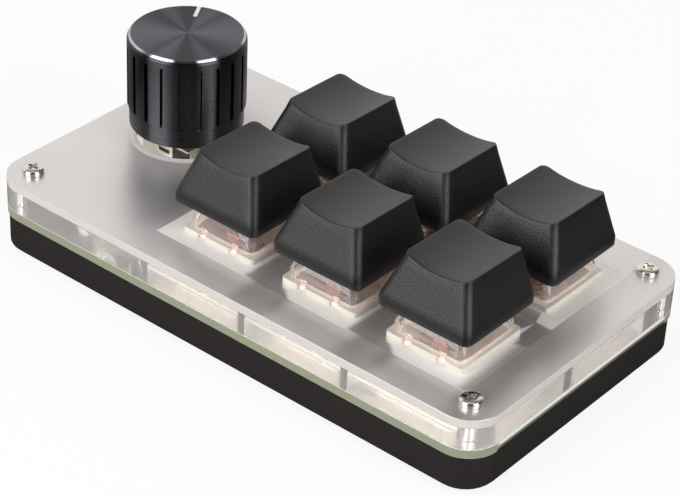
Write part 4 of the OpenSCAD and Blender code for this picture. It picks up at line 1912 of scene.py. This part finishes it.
@dataclass
class Encoder:
    """Rotary encoder under the knob.

    Attributes:
        axis: Where its axis stands.
        bore: Radius of the bushing's bore.
        collar: Height of the plain collar at the bushing's foot.
        lead_in: Width and height of the chamfer at the bushing's top.
        thread: Rise of the bushing's thread in one turn.
        thread_depth: Depth of that thread.
        rows: Rows of points up the thread.
        steps: Columns of points round the bushing.
        can_edge: Rounding of the steel frame.
        base_edge: Rounding of the plastic base.
        shaft_edge: Rounding of the shaft.
        dome_edge: Rounding of the dome.
        dome_keep: Share of the dome's height that is left when it is pushed; not used.
    """

    axis: Flat
    bore: float = 3.05 * MM
    collar: float = 0.9 * MM
    lead_in: Flat = (0.35 * MM, 0.3 * MM)
    thread: float = 0.75 * MM
    thread_depth: float = 0.22 * MM
    rows: int = 48
    steps: int = 64
    can_edge: float = 0.09 * MM
    base_edge: float = 0.08 * MM
    shaft_edge: float = 0.12 * MM
    dome_edge: float = 0.02 * MM
    dome_keep: float = 0.15

    def ring(self, radius: float, z: float, depth: float = 0.0) -> Loop:
        """Level ring round the axis; a depth gives it the thread."""
        return thread_ring(self.axis, radius, depth, self.thread, z, self.steps)

    def bushing(self, finish: Finish) -> None:
        """Threaded bushing with a plain collar at its foot.

        Args:
            finish: Finish of the bushing.
        """
        low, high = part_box("encoder_bushing")
        outer, start = (high.x - low.x) / 2, low.z + self.collar
        run = high.z - start - self.lead_in[1]
        loops = [self.ring(self.bore, low.z), self.ring(outer, low.z), self.ring(outer, start)]
        loops += [
            self.ring(outer, start + run * row / self.rows, self.thread_depth)
            for row in range(self.rows + 1)
        ]
        loops += [self.ring(outer - self.lead_in[0], high.z), self.ring(self.bore, high.z)]
        mesh = Shell().loft(loops, round_trip=True).mesh("bushing", BUSHING_THREAD_ANGLE)
        placed(show("bushing_thread", mesh), finish, Body.CASE, "encoder_bushing")

    def dome(self, finish: Finish) -> None:
        """Push-switch dome with its edges rounded.

        Args:
            finish: Finish of the dome.
        """
        piece = eased("click_dome", "encoder_dome", self.dome_edge, finish, Body.CASE, 1)
        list(self.axis)
        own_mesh(piece)

    def build(self, finishes: dict[str, Finish]) -> None:
        """Makes and finishes the encoder's pieces.

        Args:
            finishes: Finishes by slot.
        """
        self.bushing(finishes["bushing_zinc"])
        can, base, shaft = (
            finishes[slot] for slot in ("encoder_steel", "encoder_plastic", "shaft_aluminium")
        )
        eased("encoder_can", "encoder_frame", self.can_edge, can, Body.CASE)
        eased("encoder_body", "encoder_base", self.base_edge, base, Body.CASE)
        eased("dial_shaft", "encoder_shaft", self.shaft_edge, shaft, Body.DIAL)
        dressed("encoder_rotor", finishes["rotor_plastic"])
        dressed("encoder_click_spring", finishes["spring_steel"])
        dressed("encoder_pins", finishes["pin_tin"])
        self.dome(finishes["spring_steel"])


@dataclass
class Knob:
    """Grooved metal knob with a white mark.

    Attributes:
        axis: Where its axis stands.
        foot: Height of its foot.
        height: Height of the knob.
        body: Radius of the grooved part.
        band: Radius of the smooth band at the foot.
        band_height: Height of the band.
        top: Radius of the flat top.
        bevel: Size of the bright chamfer and of the rounding at the foot.
        ease: Softening of the chamfer's lower edge.
        shoulder: Distance from the top to where the sides turn in.
        turn_in: How far they turn in, and over which height.
        recess: Radius and height of the hollow underneath.
        recess_edge: Chamfers of the hollow at its roof and at its mouth.
        grooves: Number of grooves.
        groove_width: Width of one.
        groove_depth: Depth of one.
        groove_top: Distance from the knob top to the grooves' ends.
        groove_run: How far they run into the smooth band.
        groove_phase: Turn from the mark to the nearest groove, in degrees.
        fine: Distance of the points at the groove walls and ends.
        end_zone: Height of the zone of such points at the grooves' upper ends.
        mark_angle: Direction of the mark, in degrees.
        mark_half: Half width of the mark's slot.
        mark_reach: How far the slot reaches inwards and outwards from the chamfer's rim.
        mark_edge: Rounding of the mark.
    """

    axis: Flat
    foot: float
    height: float
    body: float = 10.5 * MM
    band: float = 10.15 * MM
    band_height: float = 4.0 * MM
    top: float = 9.85 * MM
    bevel: float = 0.35 * MM
    ease: float = 0.05 * MM
    shoulder: float = 1.2 * MM
    turn_in: Flat = (0.10 * MM, 0.45 * MM)
    recess: Flat = (7.3 * MM, 4.1 * MM)
    recess_edge: Flat = (0.2 * MM, 0.15 * MM)
    grooves: int = 20
    groove_width: float = 0.8 * MM
    groove_depth: float = 0.55 * MM
    groove_top: float = 1.9 * MM
    groove_run: float = 0.3 * MM
    groove_phase: float = 6.5
    fine: float = 0.05 * MM
    end_zone: float = 0.6 * MM
    mark_angle: float = 120.5
    mark_half: float = 0.37 * MM
    mark_reach: Flat = (4.1 * MM, 1 * MM)
    mark_edge: float = 0.04 * MM

    def angles(self) -> list[float]:
        """Angles of the columns, close together at the groove walls.

        Returns:
            The angles of a full turn.
        """
        step = 2 * math.pi / self.grooves
        half, fine = self.groove_width / 2 / self.body, self.fine / self.body
        wall = [half - 2 * fine, half - fine / 2, half + fine / 2, half + 2 * fine]
        offsets = [-a for a in reversed(wall)] + [-half / 2, 0, half / 2] + wall
        land = step - 2 * half - 4 * fine
        offsets += [half + 2 * fine + land * k / 7 for k in range(1, 7)]
        start = math.radians(self.mark_angle + self.groove_phase)
        return [start + n * step + offset for n in range(self.grooves) for offset in offsets]

    def section(self) -> list[Flat]:
        """Section from the hollow, round the outside, to the middle of the top.

        Returns:
            Points of radius and height above the foot.
        """
        low, zone = self.band_height, self.height - self.groove_top - self.end_zone
        rows = [low + 0.02 * MM, low + 0.08 * MM]
        rows += [low + (zone - low) * k / 14 for k in range(1, 15)]
        rows += [zone + self.fine * k for k in range(1, 16)]
        hollow, roof = self.recess
        roof_edge, mouth_edge = self.recess_edge
        made = [(0, roof), (hollow - roof_edge, roof), (hollow, roof - roof_edge),
                (hollow, mouth_edge), (hollow + mouth_edge, 0)]
        made += [(self.band - self.bevel + out, up) for out, up in quarter(self.bevel, 4)]
        made += [(self.band, low - self.groove_run - 0.1 * MM * k) for k in (9, 3, 1, 0)]
        made += [(self.band, low - drop) for drop in (0.2 * MM, 0.06 * MM, 0)]
        made += [(self.body - 0.06 * MM, low), *((self.body, z) for z in rows)]
        made += [
            (self.body - self.turn_in[0] * (1 - math.cos(a)),
             self.height - self.shoulder + self.turn_in[1] * math.sin(a))
            for a in (k * math.pi / 8 for k in range(5))
        ]
        rim, under = self.top + self.bevel, self.height - self.bevel
        made += [(rim + self.ease, under - 2 * self.ease), (rim, under)]
        return made + [(self.top * share, self.height) for share in (1, 0.97, 0.75, 0.5, 0.25, 0)]

    def grooved(self, blank: Piece, finish: Finish) -> Piece:
        """Presses the grooves into a smooth blank.

        Args:
            blank: Turned blank.
            finish: Finish of the knob.

        Returns:
            The grooved knob.
        """
        tree = Growth("grooves", {
            "Grooves": self.grooves,
            "Phase": math.radians(self.mark_angle + self.groove_phase),
            "Half Width": self.groove_width / 2,
            "Floor Radius": self.body - self.groove_depth,
            "Outer Radius": self.body,
            "Low": self.foot + self.band_height - self.groove_run,
            "High": self.foot + self.height - self.groove_top - self.groove_width / 2,
        })
        x, y, z = tree.split(tree.node("GeometryNodeInputPosition"))
        out_x, out_y = x - self.axis[0], y - self.axis[1]
        radius = (out_x * out_x + out_y * out_y).math("SQRT")
        step = 2 * math.pi / tree.input("Grooves")
        angle = tree.maths("ARCTAN2", out_y, out_x) - tree.input("Phase")
        local = (angle / step + 0.5).math("FLOORED_MODULO", 1.0) - 0.5
        across = local * step * tree.input("Outer Radius")
        floor, high, half = (tree.input(k) for k in ("Floor Radius", "High", "Half Width"))
        above = (z - high).math("MAXIMUM", 0.0)
        distance = (across * across + above * above).math("SQRT")
        inside = (half - distance) / self.fine + 0.5
        inside = inside.math("MINIMUM", 1.0).math("MAXIMUM", 0.0)
        above_foot = z.math("GREATER_THAN", tree.input("Low") - 0.001 * MM)
        outer = radius.math("GREATER_THAN", floor)
        under_top = z.math("LESS_THAN", high + half * 2)
        share = inside * above_foot * outer * under_top
        pressed = radius + (floor - radius) * share
        scale = pressed / radius.math("MAXIMUM", 1e-6)
        target = tree.join(self.axis[0] + out_x * scale, self.axis[1] + out_y * scale, z)
        shape = tree.node("GeometryNodeSetPosition", None, {
            "Geometry": tree.input("Geometry"), "Position": target,
        })
        return tree.grow(shape, finish, blank)

    def build(self, finishes: dict[str, Finish]) -> None:
        """Makes the knob, its mark and its grub screw.

        Args:
            finishes: Finishes by slot.
        """
        place = (*self.axis, self.foot)
        mesh = Shell().lathe(self.section(), place, self.angles()).mesh("knob_blank")
        knob = self.grooved(show("grooved_knob", mesh), finishes["knob_black"])
        knob = cut(knob, self.mark_slot())
        placed(knob, finishes["knob_black"], Body.DIAL, "knob")
        eased("white_mark", "knob_mark", self.mark_edge, finishes["mark_white"], Body.DIAL)
        dressed("knob_grub_screw", finishes["grub_steel"])

    def mark_slot(self) -> Piece:
        """Tool that cuts the slot of the mark.

        Returns:
            The tool.
        """
        low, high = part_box("knob_mark")
        turn = math.radians(self.mark_angle)
        ahead = Vector((math.cos(turn), math.sin(turn)))
        across = Vector((-ahead.y, ahead.x)) * self.mark_half
        rim = Vector(self.axis) + ahead * (self.top + self.bevel)
        inner, outer = rim - ahead * self.mark_reach[0], rim + ahead * self.mark_reach[1]
        corners = [inner - across, outer - across, outer + across, inner + across]
        slot = Shell().loft([
            raised(corners, z) for z in (low.z - 0.02 * MM, high.z + 0.5 * MM)
        ])
        return show("mark_slot", slot.mesh("mark_slot"))


# ---- studio


@dataclass
class Studio:
    """Floor, lamps, world and camera.

    Attributes:
        camera_at: Where the camera stands.
        azimuth: Its direction round the object, in degrees.
        elevation: How far it looks down, in degrees.
        roll: Its roll, in degrees.
        lens: Focal length for a 36 mm sensor.
        floor_share: Share of the floor that real light fills.
        floor_size: Side of the floor.
        lamp_distance: Distance of the lamps.
        tent_turn: Turn of the tent's bright side from the view, in degrees.
        tent_tint: Green and blue of the tent, against red, as mirrors see it.
        lamps: Name, direction from +X, elevation, size and power in watts of each lamp.
    """

    camera_at: tuple[float, float, float] = (0.20842, -0.26068, 0.23228)
    azimuth: float = 38.417
    elevation: float = 33.721
    roll: float = 2.883
    lens: float = 125.09
    floor_share: float = 0.12
    floor_size: float = 4.0
    lamp_distance: float = 0.65
    tent_turn: float = 22.0
    tent_tint: float = 0.972
    lamps: tuple[tuple[str, float, float, Flat, float], ...] = (
        ("left_box", -105.5, 27, (0.42, 0.66), 3.6),
        ("right_box", -5, 27, (0.38, 0.66), 2.9),
    )

    def camera(self) -> None:
        """Camera at the product view."""
        data = bpy.data.cameras.new("view")
        data.sensor_width, data.lens = 36.0, self.lens
        data.clip_start, data.clip_end = 0.01, 10.0
        camera = show("view", data)
        turn, rise, roll = map(math.radians, (self.azimuth, self.elevation, self.roll))
        ahead = Vector((
            -math.sin(turn) * math.cos(rise), math.cos(turn) * math.cos(rise), -math.sin(rise)
        ))
        level = Vector((math.cos(turn), math.sin(turn), 0))
        up = level.cross(ahead)
        right = level * math.cos(roll) + up * math.sin(roll)
        up = up * math.cos(roll) - level * math.sin(roll)
        axes = Matrix((right, up, -ahead)).transposed().to_4x4()
        camera.matrix_world = Matrix.Translation(self.camera_at) @ axes
        bpy.context.scene.camera = camera

    def seen(self, graph: Graph, *kinds: str) -> Sock:
        """1 for rays of any of the named kinds, 0 for all others.

        Args:
            graph: Tree that asks.
            kinds: Outputs of the Light Path node.

        Returns:
            The share.
        """
        path = graph.node("ShaderNodeLightPath").socket.node
        share = Sock(graph, path.outputs[kinds[0]])
        for kind in kinds[1:]:
            share = share.math("MAXIMUM", Sock(graph, path.outputs[kind]))
        return share

    def floor(self) -> None:
        """White floor that keeps a soft shadow."""
        half = self.floor_size / 2
        mesh = bpy.data.meshes.new("floor")
        corners = [(-half, -half, 0), (half, -half, 0), (half, half, 0), (-half, half, 0)]
        mesh.from_pydata(corners, [], [(0, 1, 2, 3)])
        floor = show("floor", mesh)
        material = bpy.data.materials.new("white_floor")
        material.use_nodes = True
        material.node_tree.nodes.clear()
        graph = Graph(material.node_tree)
        light = graph.node("ShaderNodeEmission", None, {"Color": (1, 1, 1, 1), "Strength": 1.0})
        x, y, _ = graph.split(graph.node("ShaderNodeTexCoord", out="Object"))
        turn = math.radians(self.azimuth)
        toward = x * math.sin(turn) - y * math.cos(turn)
        mirrored = self.seen(graph, "Is Glossy Ray") * (0.02 + 0.98 * toward.rise(0.0, -0.35))
        shown = self.seen(graph, "Is Camera Ray", "Is Transmission Ray")
        share = shown.math("MAXIMUM", mirrored) * (1 - self.floor_share)
        white = 0.97 - 0.93 * self.seen(graph, "Is Glossy Ray") * toward.rise(-0.35, 0.0)
        tone = graph.join(white, white, white)
        paper = graph.node("ShaderNodeBsdfDiffuse", None, {"Color": tone})
        mixed = graph.node("ShaderNodeMixShader", None, {0: share, 1: paper, 2: light})
        graph.node("ShaderNodeOutputMaterial", None, {"Surface": mixed})
        mesh.materials.append(material)

    def world(self) -> None:
        """Light tent: bright behind the keypad and overhead, open on the other sides."""
        world = bpy.data.worlds.new("tent")
        world.use_nodes = True
        world.node_tree.nodes.clear()
        graph = Graph(world.node_tree)
        x, y, z = graph.split(graph.node("ShaderNodeTexCoord", out="Generated"))
        turn = math.radians(self.azimuth + self.tent_turn)
        toward = x * math.sin(turn) - y * math.cos(turn)
        behind = toward.rise(-0.20, -0.55) * z.rise(-0.05, 0.04) * z.rise(0.86, 0.66)
        sky = 0.20 * z.rise(0.12, 0.45) * toward.rise(0.45, -0.15) + 0.42 * z.rise(0.90, 0.985)
        level = 0.05 + 0.95 * behind.math("MAXIMUM", sky)
        straight = self.seen(graph, "Is Camera Ray", "Is Transmission Ray")
        level = level + straight * (1.0 - level)
        tint = self.tent_tint + (1 - self.tent_tint) * straight
        sockets = {"Color": graph.join(1.0, tint, tint), "Strength": level}
        back = graph.node("ShaderNodeBackground", None, sockets)
        graph.node("ShaderNodeOutputWorld", None, {"Surface": back})
        bpy.context.scene.world = world

    def lamp(self, name: str, azimuth: float, elevation: float, size: Flat, power: float) -> None:
        """Soft rectangular lamp that faces the keypad.

        Args:
            name: Name of the lamp.
            azimuth: Its direction from +X, anticlockwise, in degrees.
            elevation: Its height above the floor, in degrees.
            size: Its width and height.
            power: Its power in watts.
        """
        data = bpy.data.lights.new(name, "AREA")
        data.shape, data.size, data.size_y, data.energy = "RECTANGLE", *size, power
        lamp = show(name, data)
        turn, rise = math.radians(azimuth), math.radians(elevation)
        away = Vector((
            math.cos(turn) * math.cos(rise), math.sin(turn) * math.cos(rise), math.sin(rise)
        ))
        lamp.location = away * self.lamp_distance
        lamp.rotation_euler = away.to_track_quat("Z", "Y").to_euler()

    def build(self) -> None:
        """Sets up floor, world, lamps and camera."""
        self.floor()
        self.world()
        for settings in self.lamps:
            self.lamp(*settings)
        self.camera()
        bpy.context.scene.view_settings.view_transform = "Standard"


# ---- finishes of this keypad


def key_finishes() -> dict[str, Finish]:
    """Finishes of the keypad, placed and sized from the frame.

    Returns:
        The finishes by slot.
    """
    first, last = middle_of("keycap_1"), middle_of("keycap_6")
    step = (middle_of("keycap_2").x - first.x, last.y - first.y)
    axis = tuple(middle_of("encoder_bushing").xy)
    board_low, board_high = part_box("circuit_board")
    knob_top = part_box("knob")[1].z
    flange_low, flange_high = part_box("switch_base_1")
    clear = (("Transmission Weight", 0.86), ("IOR", 1.49))
    steel = linear(214, 210, 204)
    made = [
        TrayPlastic("tray_black", linear(40, 36, 35), 0.42, grain_depth=0.006 * MM),
        Moulded("foot_rubber", linear(46, 46, 46), 0.8, grain=0.4 * MM, grain_depth=0.02 * MM),
        Metal("insert_brass", linear(205, 170, 98), 0.28, stain=linear(150, 120, 70)),
        Metal("screw_steel", linear(226, 222, 214), 0.19, grain=(1, 1, 1)),
        Board("board_green", linear(216, 220, 206), 0.35, fibre=linear(142, 146, 122),
              half=(board_high.x, board_high.y), low=board_low.z,
              thick=board_high.z - board_low.z),
        ClearPlastic("acrylic_clear", (0.995, 0.965, 0.955), 0.02, clear, (0.98, 0.97, 0.96),
                     haze=0.08, haze_size=0.7 * MM, streak=(1, 1, 0.03)),
        # The plate carries painted light and painted shadow round its windows and the encoder's hole.
        FrostedPlate(
            "acrylic_frosted", linear(229, 225, 223), 0.32, (("IOR", 1.5),), (0.75, 0.74, 0.73),
            middle=((first.x + last.x) / 2, (first.y + last.y) / 2), step=step, dial=axis,
            flange=(flange_high.x - flange_low.x) / 2,
            painted_glow=linear(250, 247, 242), edge=linear(208, 203, 198),
        ),
        Metal("socket_steel", steel, 0.25),
        Moulded("socket_plastic", linear(40, 40, 42), 0.45),
        TwoTone("chip_plastic", linear(38, 38, 40), 0.5, legs=steel,
                middle=middle_of("controller_chip").y, half=1.97 * MM),
        Moulded("small_ceramic", linear(170, 140, 108), 0.5, mottle=0.2),
        Moulded("switch_cream", linear(232, 226, 214), 0.36, grain_depth=0.003 * MM, mottle=0.03),
        ClearPlastic("cover_clear", (1.0, 0.92, 0.89), 0.03,
                     (("Transmission Weight", 0.9), ("IOR", 1.5)), (0.95, 0.9, 0.88),
                     haze=0.05),
        Metal("contact_copper", linear(214, 150, 118), 0.25, stain=linear(150, 96, 72)),
        Metal("spring_steel", linear(205, 200, 190), 0.2),
        Moulded("stem_plastic", linear(150, 62, 50), 0.4, grain_depth=0.003 * MM),
        KeycapPlastic("keycap_black", linear(9, 8, 8), 0.33,
                      (("IOR", 1.62), ("Coat Roughness", 0.3)), grain=0.21 * MM,
                      grain_depth=0.08 * MM, mottle=0.3, rubbed=0.35),
        Moulded("encoder_plastic", linear(58, 57, 50), 0.5),
        Metal("encoder_steel", linear(246, 242, 232), 0.42, grain=(1, 1, 8)),
        TurnedMetal("bushing_zinc", linear(200, 198, 192), 0.3, axis=axis, bite=0.05),
        Metal("pin_tin", linear(210, 206, 196), 0.3),
        Moulded("rotor_plastic", linear(232, 228, 214), 0.45),
        TurnedMetal("shaft_aluminium", linear(206, 206, 206), 0.25, axis=axis, bite=0.06),
        # The knob's top carries a painted highlight.
        TurnedMetal(
            "knob_black", linear(70, 70, 74), 0.34,
            (("Anisotropic", 1.0), ("Anisotropic Rotation", 0.25)),
            axis=axis, bite=0.08, pitch=0.28 * MM,
            bright=linear(190, 190, 192), bright_low=knob_top - 0.36 * MM, bright_in=9.8 * MM,
            side_rough=-0.06, side_bite=0.8, painted_top_sheen=1.9,
        ),
        Moulded("mark_white", linear(240, 240, 236), 0.4, mottle=0.03),
        Metal("grub_steel", linear(90, 90, 92), 0.3),
    ]
    return {finish.slot: finish for finish in made}


def dress_small_parts(finishes: dict[str, Finish]) -> None:
    """Finishes the inserts, the socket and what sits under the board.

    Args:
        finishes: Finishes by slot.
    """
    dressed("brass_inserts", finishes["insert_brass"])
    eased("socket_shell", "usb_shell", 0.06 * MM, finishes["socket_steel"], Body.CASE)
    dressed("usb_tongue", finishes["socket_plastic"])
    dressed("controller_chip", finishes["chip_plastic"])
    dressed("board_parts", finishes["small_ceramic"])


def main() -> None:
    """Builds the keypad and its studio."""
    logging.basicConfig(level=logging.INFO, format="%(name)s: %(message)s")
    finishes = key_finishes()
    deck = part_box("top_plate")[1].z
    case = Case()
    case.tray(finishes["tray_black"])
    case.feet(finishes["foot_rubber"])
    case.screws(finishes["screw_steel"])
    Stack(screws=case.screw_spots()).build(
        finishes["board_green"], finishes["acrylic_clear"], finishes["acrylic_frosted"]
    )
    dress_small_parts(finishes)
    KeySwitches(deck).build(finishes)
    axis = tuple(middle_of("encoder_bushing").xy)
    Encoder(axis).build(finishes)
    low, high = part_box("knob")
    Knob(axis, low.z, high.z - low.z).build(finishes)
    Studio().build()


if __name__ == "__main__":
    main()
